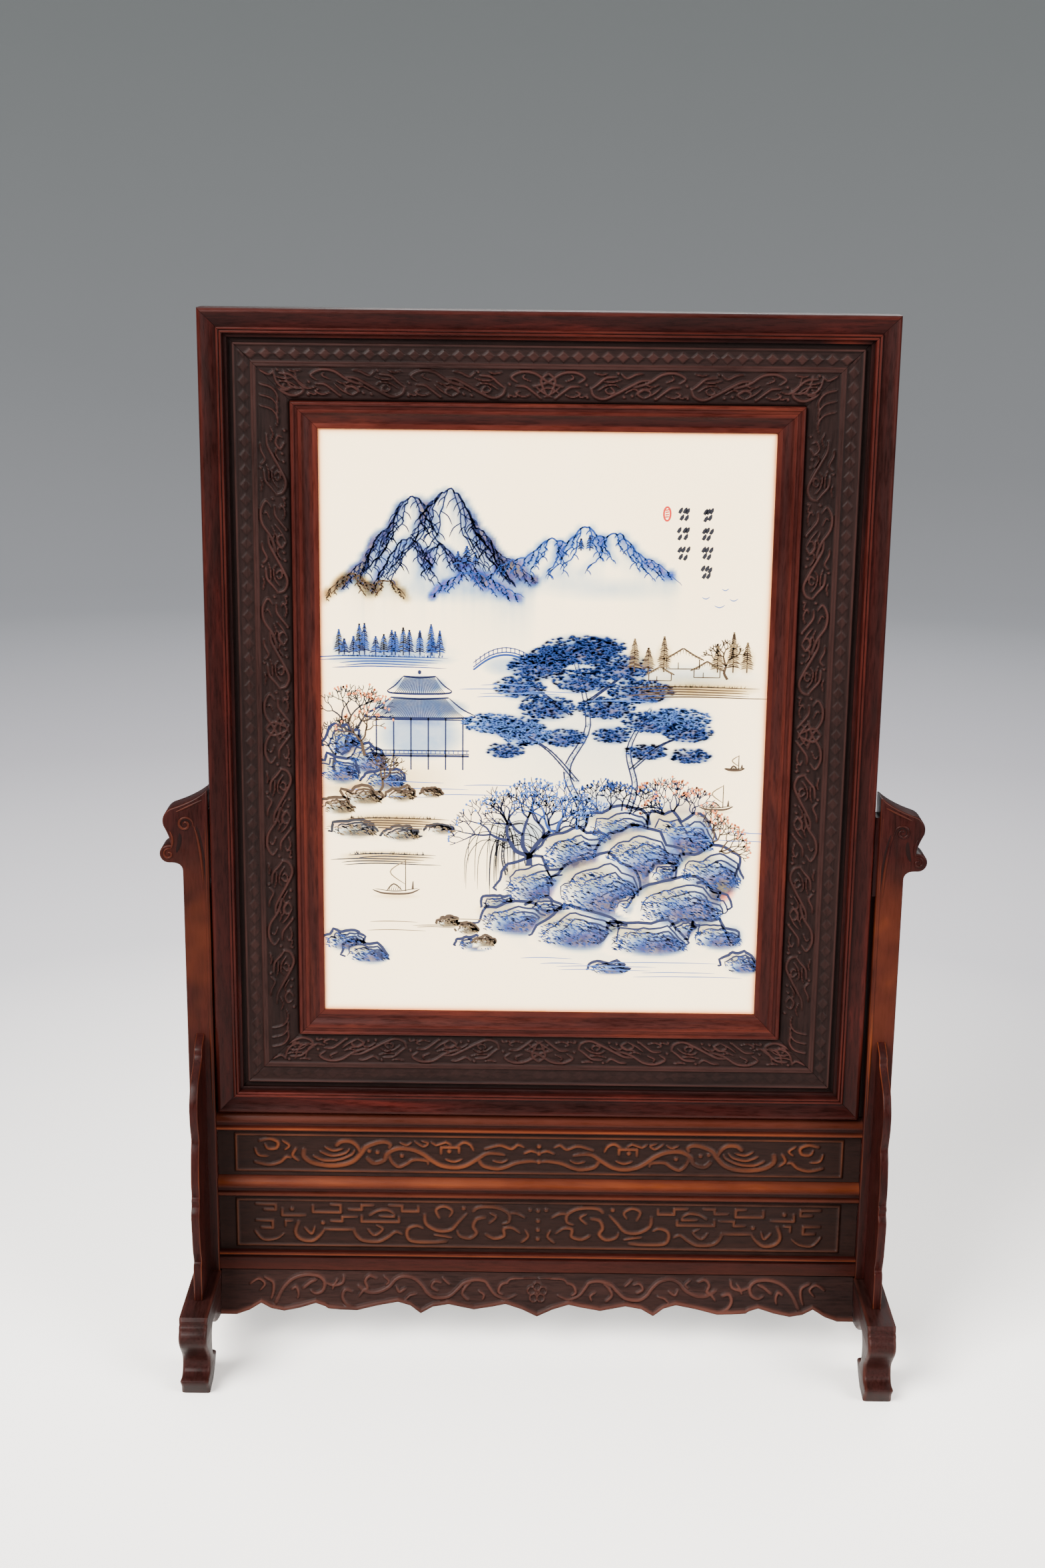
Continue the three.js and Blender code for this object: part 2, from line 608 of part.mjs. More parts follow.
function postSolid() {
  const frontY = -POST_DEPTH / 2;
  const body = solidOf(frontPlate(postShape(), frontY, POST_DEPTH / 2));
  const eyeX = POST_MIDDLE + EYE_OUT;
  const eyeZ = FOOT_HEIGHT + FIT + POST_HEIGHT - UPPER_CURL_DROP - EYE_DROP;
  const inner = EYE_RADIUS * EYE.inner;
  const eye = curlPath(eyeX, eyeZ, EYE_RADIUS, inner, Math.PI * EYE.start, Math.PI * EYE.sweep, EYE_STEPS);
  const eyeRidge = onFront([ridge(eye, CURL_WIDTH, POST_BEAD_PROUD, 0.5, 0.8)], frontY);
  const beadX = POST_INNER + POST_ARRIS;
  const beadTop = eyeZ + EYE_RADIUS;
  const bead = box(beadX, beadX + POST_BEAD, frontY - POST_BEAD_PROUD, 0, SCREEN_BOTTOM, beadTop);
  const tongueX = POST_INNER - TONGUE_PROUD;
  const half = TONGUE_THICK / 2;
  const tongue = box(tongueX, POST_INNER + OVERRUN, -half, half, SCREEN_BOTTOM, TONGUE_TOP);
  const tenon = box(
    POST_MIDDLE - TENON_WIDTH / 2, POST_MIDDLE + TENON_WIDTH / 2,
    -TENON_THICK / 2, TENON_THICK / 2,
    FOOT_HEIGHT + FIT - TENON_DEPTH, FOOT_HEIGHT + FIT + OVERRUN,
  );
  let post = joined([body, ...eyeRidge, solidOf(bead), solidOf(tongue), solidOf(tenon)]);
  RAILS.forEach((rail) => {
    const mortise = box(
      POST_INNER - TONGUE_PROUD - OVERRUN, POST_INNER + RAIL_TENON + FIT,
      -RAIL_TENON_THICK / 2 - FIT, RAIL_TENON_THICK / 2 + FIT,
      rail.bottom + RAIL_SHOULDER - FIT, rail.bottom + rail.height - RAIL_SHOULDER + FIT,
    );
    post = post.subtract(solidOf(mortise));
  });
  return post;
}

function railSolid(rail) {
  const front = rail.face.map(([share, inset]) => [
    -RAIL_DEPTH / 2 + inset * RAIL_GROOVE, rail.bottom + share * rail.height,
  ]);
  const back = [[RAIL_DEPTH / 2, rail.bottom + rail.height], [RAIL_DEPTH / 2, rail.bottom]];
  const half = POST_INNER - FIT;
  const bar = solidOf(sidePlate(outline([...front, ...back]), -half, half));
  const tenon = box(
    -POST_INNER - RAIL_TENON, POST_INNER + RAIL_TENON,
    -RAIL_TENON_THICK / 2, RAIL_TENON_THICK / 2,
    rail.bottom + RAIL_SHOULDER, rail.bottom + rail.height - RAIL_SHOULDER,
  );
  return joined([bar, solidOf(tenon)]);
}

function panelGroove(bottom, top) {
  const half = PANEL_TONGUE_THICK / 2 + FIT;
  const deep = PANEL_TONGUE + FIT;
  return solidOf(box(-POST_INNER, POST_INNER, -half, half, bottom - deep, top + deep));
}

RAILS.forEach((rail) => {
  let solid = railSolid(rail);
  OPENINGS.forEach((opening) => {
    solid = solid.subtract(panelGroove(opening.bottom, opening.top));
  });
  addPiece(`rail_${rail.name}`, geometryOf(solid), WOOD);
});

const rightPost = postSolid();
addPiece('post_right', geometryOf(rightPost), WOOD);
addPiece('post_left', geometryOf(rightPost.mirror([1, 0, 0])), WOOD);

// A panel with a raised bead round its field
function panelSolid(opening, strokes) {
  const face = -RAIL_DEPTH / 2 + PANEL_RECESS;
  const half = POST_INNER - FIT;
  const body = box(-half, half, face, -face, opening.bottom + FIT, opening.top - FIT);
  const tongueHalf = PANEL_TONGUE_THICK / 2;
  const tongueBottom = opening.bottom - PANEL_TONGUE;
  const tongueTop = opening.top + PANEL_TONGUE;
  const tongue = box(-half, half, -tongueHalf, tongueHalf, tongueBottom, tongueTop);
  const x = POST_INNER - PANEL_END_MARGIN;
  const z0 = opening.bottom + PANEL_BEAD_MARGIN;
  const z1 = opening.top - PANEL_BEAD_MARGIN;
  const rim = outline([[-x, z0], [x, z0], [x, z1], [-x, z1]]);
  const a = PANEL_BEAD;
  rim.holes.push(outline([[-x + a, z0 + a], [-x + a, z1 - a], [x - a, z1 - a], [x - a, z0 + a]]));
  const bead = frontPlate(rim, face - PANEL_BEAD_PROUD, face + CARVING_SINK);
  return joined([solidOf(body), solidOf(tongue), solidOf(bead), ...onFront(strokes, face)]);
}

// Mirrors a half of the turning points about the middle; the halves meet at the last one, u = 0
function mirrored(turns) {
  const other = turns.slice(0, -1).reverse().map(([u, side]) => [-u, side]);
  return [...turns, ...other];
}

// Straight branches with a square hook, as on fretwork
function fret(u, v, length, height, hand) {
  return [
    new THREE.Vector2(u, v),
    new THREE.Vector2(u + hand * length, v),
    new THREE.Vector2(u + hand * length, v + height),
    new THREE.Vector2(u + hand * length * FRET.hook, v + height),
  ];
}

function panelField(opening) {
  const halfField = POST_INNER - PANEL_END_MARGIN - PANEL_BEAD;
  const room = (opening.top - opening.bottom) / 2 - PANEL_BEAD_MARGIN - PANEL_BEAD;
  const middle = (opening.top + opening.bottom) / 2;
  return { halfField, middle, swing: room - STEM_MARGIN };
}

// Turning points as shares of half the field, from the left end to the middle
const UPPER_TURN_SHARES = [
  [-0.96, 0.6], [-0.83, 1], [-0.69, -1], [-0.48, 1], [-0.27, -1], [-0.13, 0.8], [0, -0.4],
];
const LOWER_TURN_SHARES = [
  [-0.66, -0.2], [-0.6, 1], [-0.48, -1], [-0.36, 1], [-0.24, -1], [-0.12, 1], [0, -0.9],
];

function upperPanelStrokes(opening) {
  const { halfField, swing, middle } = panelField(opening);
  const turns = mirrored(UPPER_TURN_SHARES.map(([share, side]) => [share * halfField, side]));
  return scrollwork(turns, swing, middle, true);
}

function lowerPanelStrokes(opening) {
  const { halfField, swing, middle } = panelField(opening);
  const turns = mirrored(LOWER_TURN_SHARES.map(([share, side]) => [share * halfField, side]));
  const strokes = scrollwork(turns, swing, middle, false);
  [-1, 1].forEach((hand) => {
    FRET_PLACES.forEach((share, i) => {
      const lift = i % 2 === 0 ? 1 : -1;
      const length = halfField * FRET.length;
      const from = hand * (share * halfField - length);
      const branch = fret(from, middle - lift * swing * FRET.drop, length, lift * swing, hand);
      strokes.push(ridge(hand * lift > 0 ? branch : branch.reverse(), CURL_WIDTH, CARVING_RISE, 0.8, 0.8));
    });
  });
  return strokes;
}

addPiece('panel_lower', geometryOf(panelSolid(OPENINGS[0], lowerPanelStrokes(OPENINGS[0]))), WOOD);
addPiece('panel_upper', geometryOf(panelSolid(OPENINGS[1], upperPanelStrokes(OPENINGS[1]))), WOOD);

// The foot from the side: shares of half its depth and of its height, from the top's front corner down,
// round the toe and up the back of the leg to the hanging middle
const FOOT_FRONT_SHARES = [
  [-0.912, 1], [-0.952, 0.91], [-1, 0.78], [-0.978, 0.67], [-0.9, 0.54], [-0.835, 0.43],
  [-0.82, 0.34], [-0.85, 0.25], [-0.935, 0.215], [-0.945, 0.17], [-0.88, 0],
];
const FOOT_BACK_SHARES = [
  [-0.68, 0], [-0.6, 0.06], [-0.49, 0.19], [-0.5, 0.265], [-0.6, 0.3], [-0.67, 0.42], [-0.675, 0.62],
  [-0.62, 0.7], [-0.52, 0.66], [-0.38, 0.53], [-0.25, 0.47], [-0.12, 0.44], [0, 0.46],
];

function footShape() {
  const half = FOOT_DEPTH / 2;
  const front = [...FOOT_FRONT_SHARES, ...FOOT_BACK_SHARES].map(([y, z]) => [y * half, z * FOOT_HEIGHT]);
  const back = front.slice(0, -1).reverse().map(([y, z]) => [-y, z]);
  return outline([...front, ...back]);
}

function footSolid(hand) {
  const middle = hand * POST_MIDDLE;
  const shape = footShape();
  const body = sidePlate(shape, middle - FOOT_WIDTH / 2, middle + FOOT_WIDTH / 2);
  const mortise = box(
    middle - TENON_WIDTH / 2 - FIT, middle + TENON_WIDTH / 2 + FIT,
    -TENON_THICK / 2 - FIT, TENON_THICK / 2 + FIT,
    FOOT_HEIGHT - TENON_DEPTH - FIT, FOOT_HEIGHT + OVERRUN,
  );
  return solidOf(body).subtract(solidOf(mortise));
}

addPiece('foot_left', geometryOf(footSolid(-1)), WOOD);
addPiece('foot_right', geometryOf(footSolid(1)), WOOD);

// The spandrel's front edge: shares of its reach from the post and of its height, from the tip down
const SPANDREL_EDGE_SHARES = [
  [0, 1], [0.26, 0.968], [0.31, 0.935], [0.52, 0.9], [0.71, 0.872], [0.82, 0.832], [0.88, 0.795],
  [0.885, 0.755], [0.86, 0.71], [0.8, 0.665], [0.78, 0.64], [0.85, 0.6], [0.905, 0.53], [0.92, 0.475],
  [0.89, 0.43], [0.94, 0.416], [0.92, 0.395], [0.985, 0.37], [1, 0.34], [0.97, 0.27], [0.93, 0.2],
  [0.86, 0.154], [0.92, 0.13], [0.93, 0],
];

function spandrelGeometry(hand, end) {
  const wall = end * (POST_DEPTH / 2 + FIT);
  const base = FOOT_HEIGHT + FIT;
  const edge = SPANDREL_EDGE_SHARES.map(([reach, up]) => [
    wall + end * reach * SPANDREL_REACH, base + up * SPANDREL_HEIGHT,
  ]);
  const shape = outline([[wall, base], ...edge]);
  const middle = hand * POST_MIDDLE;
  return sidePlate(shape, middle - SPANDREL_THICK / 2, middle + SPANDREL_THICK / 2);
}

[[-1, 'left'], [1, 'right']].forEach(([hand, side]) => {
  addPiece(`spandrel_front_${side}`, spandrelGeometry(hand, -1), WOOD);
  addPiece(`spandrel_back_${side}`, spandrelGeometry(hand, 1), WOOD);
});

// The apron's lower edge: shares of half its length and of its depth, from the left end to the middle
const APRON_EDGE_SHARES = [
  [-1, 1], [-0.95, 1], [-0.91, 0.9], [-0.873, 0.74], [-0.84, 0.86], [-0.8, 0.91], [-0.75, 0.84],
  [-0.7, 0.73], [-0.67, 0.8], [-0.66, 0.85], [-0.62, 0.87], [-0.57, 0.88], [-0.5, 0.76], [-0.44, 0.68],
  [-0.4, 0.76], [-0.368, 0.93], [-0.33, 0.78], [-0.28, 0.72], [-0.2, 0.83], [-0.14, 0.76], [-0.1, 0.7],
  [-0.05, 0.81], [0, 0.97],
];

const apronTop = RAIL_LOWER_BOTTOM - FIT;
const apronHalf = POST_MIDDLE - FOOT_WIDTH / 2 - FIT;

function apronEdge(lift) {
  const left = APRON_EDGE_SHARES.map(([x, drop]) => [x * apronHalf, apronTop - drop * APRON_DEPTH + lift]);
  const right = left.slice(0, -1).reverse().map(([x, z]) => [-x, z]);
  return [...left, ...right];
}

// Leans a front plate outward toward its lower edge
function slanted(geometry, end) {
  const position = geometry.attributes.position;
  for (let i = 0; i < position.count; i += 1) {
    const drop = apronTop - position.getZ(i);
    position.setY(i, end * (position.getY(i) - drop * APRON_SLANT));
  }
  if (end < 0) {
    geometry.index.array.reverse();
  }
  return geometry;
}

function apronPlate() {
  const shape = outline([...apronEdge(0), [apronHalf, apronTop], [-apronHalf, apronTop]]);
  return solidOf(frontPlate(shape, -APRON_FRONT, APRON_THICK - APRON_FRONT));
}

function apronRib() {
  const lower = apronEdge(CARVING_SINK);
  const upper = apronEdge(APRON_RIB).reverse();
  const band = outline([...lower, ...upper]);
  return solidOf(frontPlate(band, -APRON_FRONT - CARVING_RISE, CARVING_SINK - APRON_FRONT));
}

const APRON_TURN_SHARES = [
  [-0.86, -1], [-0.74, 1], [-0.6, -0.6], [-0.42, 1], [-0.31, -1], [-0.21, 1], [-0.1, -1],
];

function apronStrokes() {
  const room = APRON_DEPTH * APRON_FIELD - APRON_RIB;
  const swing = room / 2 - STEM_MARGIN;
  const middle = apronTop - STEM_WIDTH / 2 - room / 2;
  const strokes = [];
  [-1, 1].forEach((hand) => {
    const turns = APRON_TURN_SHARES.map(([share, side]) => [-hand * share * apronHalf, side]);
    strokes.push(...scrollwork(hand > 0 ? turns.reverse() : turns, swing, middle, false));
  });
  for (let i = 0; i < FLOWER_PETALS; i += 1) {
    const angle = Math.PI / 2 + (i * Math.PI * 2) / FLOWER_PETALS;
    const petal = PETAL_REACHES.map((share) => new THREE.Vector2(
      share * FLOWER_RADIUS * Math.cos(angle), middle + share * FLOWER_RADIUS * Math.sin(angle),
    ));
    strokes.push(ridge(petal, FLOWER_RADIUS * PETAL_WIDTH, CARVING_RISE, 0.4, 0.4));
  }
  return strokes;
}

const plainApron = apronPlate();
const carvedApron = joined([plainApron, apronRib(), ...onFront(apronStrokes(), -APRON_FRONT)]);
addPiece('apron_front', slanted(geometryOf(carvedApron), 1), WOOD);
addPiece('apron_back', slanted(geometryOf(plainApron), -1), WOOD);

export default screen;
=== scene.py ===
"""A hardwood table screen: a painted porcelain plaque in a carved frame that stands in a carved stand.

Lengths are written in millimetres and turned into metres where a mesh is made. The front faces -Y, and the
sizes repeat the model's own: s runs inward from the screen's outer edge, and depth runs back from its front.
"""
import json
import math

import bmesh
import bpy
import numpy as np
from mathutils.geometry import tessellate_polygon
from mathutils import Euler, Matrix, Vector

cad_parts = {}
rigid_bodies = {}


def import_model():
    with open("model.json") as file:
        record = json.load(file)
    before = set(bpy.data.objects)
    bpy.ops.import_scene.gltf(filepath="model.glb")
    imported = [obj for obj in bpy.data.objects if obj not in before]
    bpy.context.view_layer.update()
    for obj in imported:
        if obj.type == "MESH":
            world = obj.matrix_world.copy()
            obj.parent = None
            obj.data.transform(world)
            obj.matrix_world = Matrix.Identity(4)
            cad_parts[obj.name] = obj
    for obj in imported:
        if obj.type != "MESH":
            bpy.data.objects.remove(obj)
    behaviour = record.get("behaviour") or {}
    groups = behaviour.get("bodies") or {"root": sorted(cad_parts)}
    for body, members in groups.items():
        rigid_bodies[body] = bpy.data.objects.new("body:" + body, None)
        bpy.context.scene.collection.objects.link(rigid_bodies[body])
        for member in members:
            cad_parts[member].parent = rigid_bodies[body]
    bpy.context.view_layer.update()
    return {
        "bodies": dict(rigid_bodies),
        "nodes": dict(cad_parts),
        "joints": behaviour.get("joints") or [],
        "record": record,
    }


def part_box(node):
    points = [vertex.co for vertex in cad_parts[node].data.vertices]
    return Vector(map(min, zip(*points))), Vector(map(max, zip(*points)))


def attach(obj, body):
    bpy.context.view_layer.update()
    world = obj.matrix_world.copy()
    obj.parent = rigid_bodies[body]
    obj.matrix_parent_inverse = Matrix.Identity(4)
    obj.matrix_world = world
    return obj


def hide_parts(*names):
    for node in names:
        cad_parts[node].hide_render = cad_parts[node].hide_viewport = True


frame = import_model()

MM = 0.001
BODY = "root"

# The screen
SCREEN_WIDTH = 390.0
SCREEN_HEIGHT = 478.6
SCREEN_THICK = 20.0
SCREEN_SHIFT = -1.0
FIT = 0.3
MITRE_GAP = 0.1
FRAME_FACE = 16.0
FRAME_ROUND = 2.4
FRAME_COVE_END = 10.2
FRAME_COVE_DEPTH = 2.2
FRAME_BEAD = 3.6
FRAME_BEAD_DEPTH = 0.6
FRAME_FILLET = 1.6
FRAME_FILLET_DEPTH = 4.0
FRAME_WALL = 9.0
FLANGE_DEPTH = 6.7
BORDER_OUTER = 18.8
BORDER_INNER = 50.4
BORDER_EDGE_DEPTH = 4.6
BORDER_GROUND = 5.6
BORDER_LINE = 1.1
LOZENGE_BAND = 7.6
LOZENGE_PITCH = 8.3
LOZENGE_HEIGHT = 7.0
LOZENGE_SLOPE = 3.5
RIDGE_BAND = 3.4
INNER_MARGIN = 1.2
BORDER_PERIOD = 56.0
SEAT_DEPTH = 7.0
BOARD_BACK = 12.0
MOULDING_OUTER = 50.7
MOULDING_SEAT = 6.6
SIGHT_EDGE = 65.9

# The stand
POST_INNER = 197.0
POST_WIDTH = 15.5
POST_MIDDLE = POST_INNER + POST_WIDTH / 2
POST_DEPTH = 18.0
POST_HEIGHT = 308.6
FOOT_WIDTH = 17.0
FOOT_HEIGHT = 51.4
FOOT_DEPTH = 147.0
SPANDREL_THICK = 5.0
SPANDREL_HEIGHT = 157.3
SPANDREL_REACH = 40.2
RAIL_DEPTH = 16.0
RAIL_LOWER = (52.5, 64.5)
RAIL_MIDDLE = (101.8, 114.7)
RAIL_UPPER = (145.3, 157.5)
RAIL_GROOVE = 1.6
PANEL_RECESS = 4.0
PANEL_END_MARGIN = 10.5
PANEL_BEAD = 1.8
PANEL_BEAD_PROUD = 1.1
PANEL_BEAD_MARGIN = 2.6
APRON_TOP = 52.2
APRON_HALF = 195.95
APRON_DEPTH = 26.6
APRON_THICK = 6.0
APRON_FRONT = 7.0
APRON_SLANT = 0.3
APRON_RIB = 3.0

# The carving
CARVING_RISE = 1.45
FLOWER_RADIUS = 6.5
FLOWER_PETALS = 5
PETAL_PLACE = 0.58
PETAL_SIZE = 0.36
CARVED_CELL = 0.52
LINE_GAIN = 1.2
CARVING_ROUND = 0.55
# How fast the painted shade on a carved ground fades where the carving rises
SHADE_FADE = 2.5
CARVED_SHARP = 1.2
BAR_SHARP = 0.5
STAND_SHARP = 0.7
HIGH_POWER = 2.2

SCREEN_BOTTOM = RAIL_UPPER[1] + FIT
SCREEN_MIDDLE = SCREEN_BOTTOM + SCREEN_HEIGHT / 2


# Materials

# The colour sockets of a mix node share their names with others, so they go by number
MIX_FIRST = 6
MIX_SECOND = 7
MIX_RESULT = 2


class Nodes:
    """Adds nodes to a material and links them, so that a material reads as a short list."""

    def __init__(self, name):
        self.material = bpy.data.materials.new(name)
        self.material.use_nodes = True
        self.tree = self.material.node_tree
        self.shader = self.tree.nodes["Principled BSDF"]

    def put(self, value, socket):
        """Links a node's output to an input, or gives the input a value of its own."""
        if isinstance(value, bpy.types.NodeSocket):
            self.tree.links.new(value, socket)
        elif socket.type == "RGBA":
            socket.default_value = (*value, 1.0)
        else:
            socket.default_value = value

    def surface(self, key, value):
        self.put(value, self.shader.inputs[key])

    def add(self, kind, inputs, **values):
        node = self.tree.nodes.new(kind)
        for key, value in values.items():
            setattr(node, key, value)
        for key, value in inputs.items():
            self.put(value, node.inputs[key])
        return node

    def place(self, scale=(1.0, 1.0, 1.0)):
        """Object coordinates, stretched by scale along each axis."""
        coords = self.add("ShaderNodeTexCoord", {}).outputs["Object"]
        return self.add("ShaderNodeMapping", {"Vector": coords, "Scale": scale}).outputs["Vector"]

    def noise(self, vector, scale, detail, roughness=0.55, distortion=0.0):
        inputs = {"Scale": scale, "Detail": detail, "Roughness": roughness, "Distortion": distortion}
        return self.add("ShaderNodeTexNoise", {**inputs, "Vector": vector}).outputs["Fac"]

    def ramp(self, factor, stops):
        node = self.add("ShaderNodeValToRGB", {"Fac": factor})
        elements = node.color_ramp.elements
        while len(elements) < len(stops):
            elements.new(0.5)
        for element, (place, colour) in zip(elements, stops):
            element.position = place
            element.color = (*colour, 1.0)
        return node.outputs["Color"]

    def grey(self, factor, low, high, from_low=0.0, from_high=1.0):
        """A value stretched from one range to another."""
        inputs = {"From Min": from_low, "From Max": from_high, "To Min": low, "To Max": high}
        return self.add("ShaderNodeMapRange", {**inputs, "Value": factor}).outputs["Result"]

    def mix(self, factor, first, second, blend="MIX"):
        inputs = {"Factor": factor, MIX_FIRST: first, MIX_SECOND: second}
        return self.add("ShaderNodeMix", inputs, data_type="RGBA", blend_type=blend).outputs[MIX_RESULT]

    def math(self, operation, first, second):
        return self.add("ShaderNodeMath", {0: first, 1: second}, operation=operation).outputs[0]

    def attribute(self, name):
        return self.add("ShaderNodeAttribute", {}, attribute_name=name).outputs["Fac"]

    def bump(self, height, strength, distance):
        inputs = {"Strength": strength, "Distance": distance, "Height": height}
        self.surface("Normal", self.add("ShaderNodeBump", inputs).outputs["Normal"])


GRAIN_STRETCH = {"X": (1.0, 9.0, 9.0), "Y": (9.0, 1.0, 9.0), "Z": (9.0, 9.0, 1.0)}
STREAK_STOPS = ((0.7, (0.52, 0.47, 0.44)), (1.0, (1.0, 1.0, 1.0)))
STREAK_BRIGHTNESS = 1.35
# How dark the painted shade in recesses gets, as a share of the dark wood
RECESS_SHADE_DARKNESS = 0.35
WOOD_SPECULAR = 0.055
WOOD_BUMP = (0.25, 0.00012)


def wood_material(name, grain, dark, body, worn, gloss, orange=None, streak=None, least_wear=0.15):
    """Dark polished hardwood: grain along one axis, fine pores, warmer wood where it is worn, and painted
    shade in the recesses.
    """
    n = Nodes(name)
    along = n.place(GRAIN_STRETCH[grain])
    broad = n.noise(along, 9.0, 5.0, 0.6, 0.6)
    fine = n.noise(along, 85.0, 3.0, 0.7)
    pores = n.noise(along, 260.0, 2.0, 0.5)
    patch = n.noise(n.place(), 14.0, 3.0, 0.6)
    streak = streak or tuple(c * STREAK_BRIGHTNESS for c in body)
    colour = n.ramp(broad, ((0.3, dark), (0.55, body), (0.78, streak)))
    streaks = n.grey(fine, 0.72, 1.15, 0.35, 0.65)
    colour = n.mix(1.0, colour, n.ramp(streaks, STREAK_STOPS), "MULTIPLY")
    patches = n.attribute("wear"), n.grey(patch, least_wear, 1.25 - least_wear / 2, 0.34, 0.68)
    wear = n.math("MULTIPLY", *patches)
    colour = n.mix(n.grey(wear, 0.0, 1.0), colour, worn)
    if orange:
        ranges = n.grey(wear, 0.0, 1.0, 0.45, 1.1), n.grey(broad, 0.2, 1.0, 0.4, 0.62)
        colour = n.mix(n.math("MULTIPLY", *ranges), colour, orange)
    # Painted shade: a mark on each point darkens the wood in grooves, gaps and on carved grounds
    recess_shade_amount = n.grey(n.attribute("recess_shade"), 0.0, 0.75)
    colour = n.mix(recess_shade_amount, colour, tuple(c * RECESS_SHADE_DARKNESS for c in dark))
    n.surface("Base Color", colour)
    ranges = n.grey(fine, -0.05, 0.08, 0.3, 0.7), n.grey(patch, gloss - 0.05, gloss + 0.1, 0.3, 0.7)
    rough = n.math("ADD", *ranges)
    # The same painted-shade mark also makes the recesses a little rougher
    n.surface("Roughness", n.math("ADD", rough, n.grey(n.attribute("recess_shade"), 0.0, 0.3)))
    n.surface("Specular IOR Level", WOOD_SPECULAR)
    height = n.math("ADD", n.grey(pores, 0.0, 0.5, 0.35, 0.6), n.grey(fine, 0.0, 0.5))
    n.bump(height, *WOOD_BUMP)
    return n.material


FRAME_WORN = (0.06, 0.0085, 0.0045)
FRAME = {"dark": (0.0055, 0.0016, 0.0013), "body": (0.0125, 0.0022, 0.0017)}
CARVED_GLOSS = 0.42
PANEL = {"dark": (0.0085, 0.0038, 0.0031), "body": (0.0115, 0.0044, 0.0032), "gloss": CARVED_GLOSS}
STAND = {**FRAME, "worn": (0.056, 0.0112, 0.0038), "orange": (0.095, 0.02, 0.0038)}
CARVED_DARK = (0.006, 0.0028, 0.0024)
# The woods of the screen's bars, which come with their grain along X and along Z
BAR_WOODS = {
    "frame": {**FRAME, "worn": FRAME_WORN, "gloss": 0.28, "streak": (0.036, 0.0052, 0.0038)},
    "red": {
        "dark": (0.012, 0.002, 0.0015), "body": (0.02, 0.0042, 0.0032), "worn": (0.075, 0.0115, 0.006),
        "gloss": 0.3, "streak": (0.048, 0.0085, 0.0045),
    },
    "border": {
        "dark": CARVED_DARK, "body": (0.0095, 0.0038, 0.0032), "worn": (0.026, 0.0092, 0.0074),
        "gloss": CARVED_GLOSS,
    },
}
OTHER_WOODS = {
    "upper_panel": ("X", {**PANEL, "worn": (0.072, 0.018, 0.0055)}),
    "lower_panel": ("X", {**PANEL, "worn": (0.05, 0.0145, 0.006)}),
    "apron": ("X", {
        "dark": CARVED_DARK, "body": (0.0145, 0.0054, 0.0042), "worn": (0.042, 0.0135, 0.009),
        "gloss": CARVED_GLOSS,
    }),
    "rail": ("X", {**STAND, "gloss": 0.34, "least_wear": 0.6}),
    "post": ("Z", {**STAND, "gloss": 0.36, "least_wear": 0.0}),
    "foot": ("Y", {
        "dark": (0.0055, 0.0024, 0.0021), "body": (0.0115, 0.0034, 0.003), "worn": (0.052, 0.0135, 0.0085),
        "gloss": 0.36,
    }),
    "back": ("Z", {
        "dark": (0.02, 0.009, 0.0065), "body": (0.032, 0.0145, 0.0105), "worn": FRAME_WORN, "gloss": 0.5,
    }),
}


def make_materials():
    made = {}
    for axis in "XZ":
        for kind, look in BAR_WOODS.items():
            made[f"{kind}_{axis}"] = wood_material(f"{kind}_wood_{axis}", axis, **look)
    for kind, (axis, look) in OTHER_WOODS.items():
        made[kind] = wood_material(f"{kind}_wood", axis, **look)
    return made


GLAZE_STOPS = ((0.3, (0.98, 0.77, 0.45)), (0.7, (0.99, 0.8, 0.5)))
GLAZE_COAT = 0.3
GLAZE_COAT_ROUGHNESS = 0.08
GLAZE_BUMP = (0.08, 0.0004)
BRUSH_ROUGHNESS = (0.25, 0.35)


def porcelain_material():
    """Warm white glaze that carries the painted washes from the mesh's colour attribute."""
    n = Nodes("painted_glaze")
    wash = n.add("ShaderNodeVertexColor", {}, layer_name="wash").outputs["Color"]
    cloud = n.noise(n.place(), 130.0, 6.0, 0.65, 0.4)
    glaze = n.noise(n.place(), 9.0, 3.0, 0.5)
    ground = n.ramp(glaze, GLAZE_STOPS)
    stain = n.mix(n.grey(cloud, 0.9, 1.0, 0.35, 0.6), (1.0, 1.0, 1.0), wash)
    n.surface("Base Color", n.mix(1.0, ground, stain, "MULTIPLY"))
    n.surface("Roughness", n.grey(glaze, 0.12, 0.2))
    n.surface("Coat Weight", GLAZE_COAT)
    n.surface("Coat Roughness", GLAZE_COAT_ROUGHNESS)
    n.bump(glaze, *GLAZE_BUMP)
    return n.material


def paint_material(name, colour):
    """A brushed colour under the glaze."""
    n = Nodes(name)
    n.surface("Base Color", colour)
    n.surface("Roughness", n.grey(n.noise(n.place(), 400.0, 2.0), *BRUSH_ROUGHNESS))
    return n.material


# Meshes

def add_piece(name, verts, faces, material, nodes, attributes=None, sharp=0.6, closed=True):
    """A mesh piece from millimetre points. It rides on the one body and stands for the nodes it is given."""
    mesh = bpy.data.meshes.new(name)
    mesh.from_pydata((np.asarray(verts, float) * MM).tolist(), [], faces)
    mesh.validate()
    if closed:
        shell = bmesh.new()
        shell.from_mesh(mesh)
        bmesh.ops.recalc_face_normals(shell, faces=shell.faces)
        shell.to_mesh(mesh)
        shell.free()
    mesh.shade_smooth()
    mesh.set_sharp_from_angle(angle=sharp)
    for key, values in (attributes or {}).items():
        layer = mesh.attributes.new(key, "FLOAT", "POINT")
        layer.data.foreach_set("value", np.asarray(values, np.float32))
    piece = bpy.data.objects.new(name, mesh)
    bpy.context.scene.collection.objects.link(piece)
    mesh.materials.append(material)
    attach(piece, BODY)
    if nodes:
        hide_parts(*nodes)
    return piece


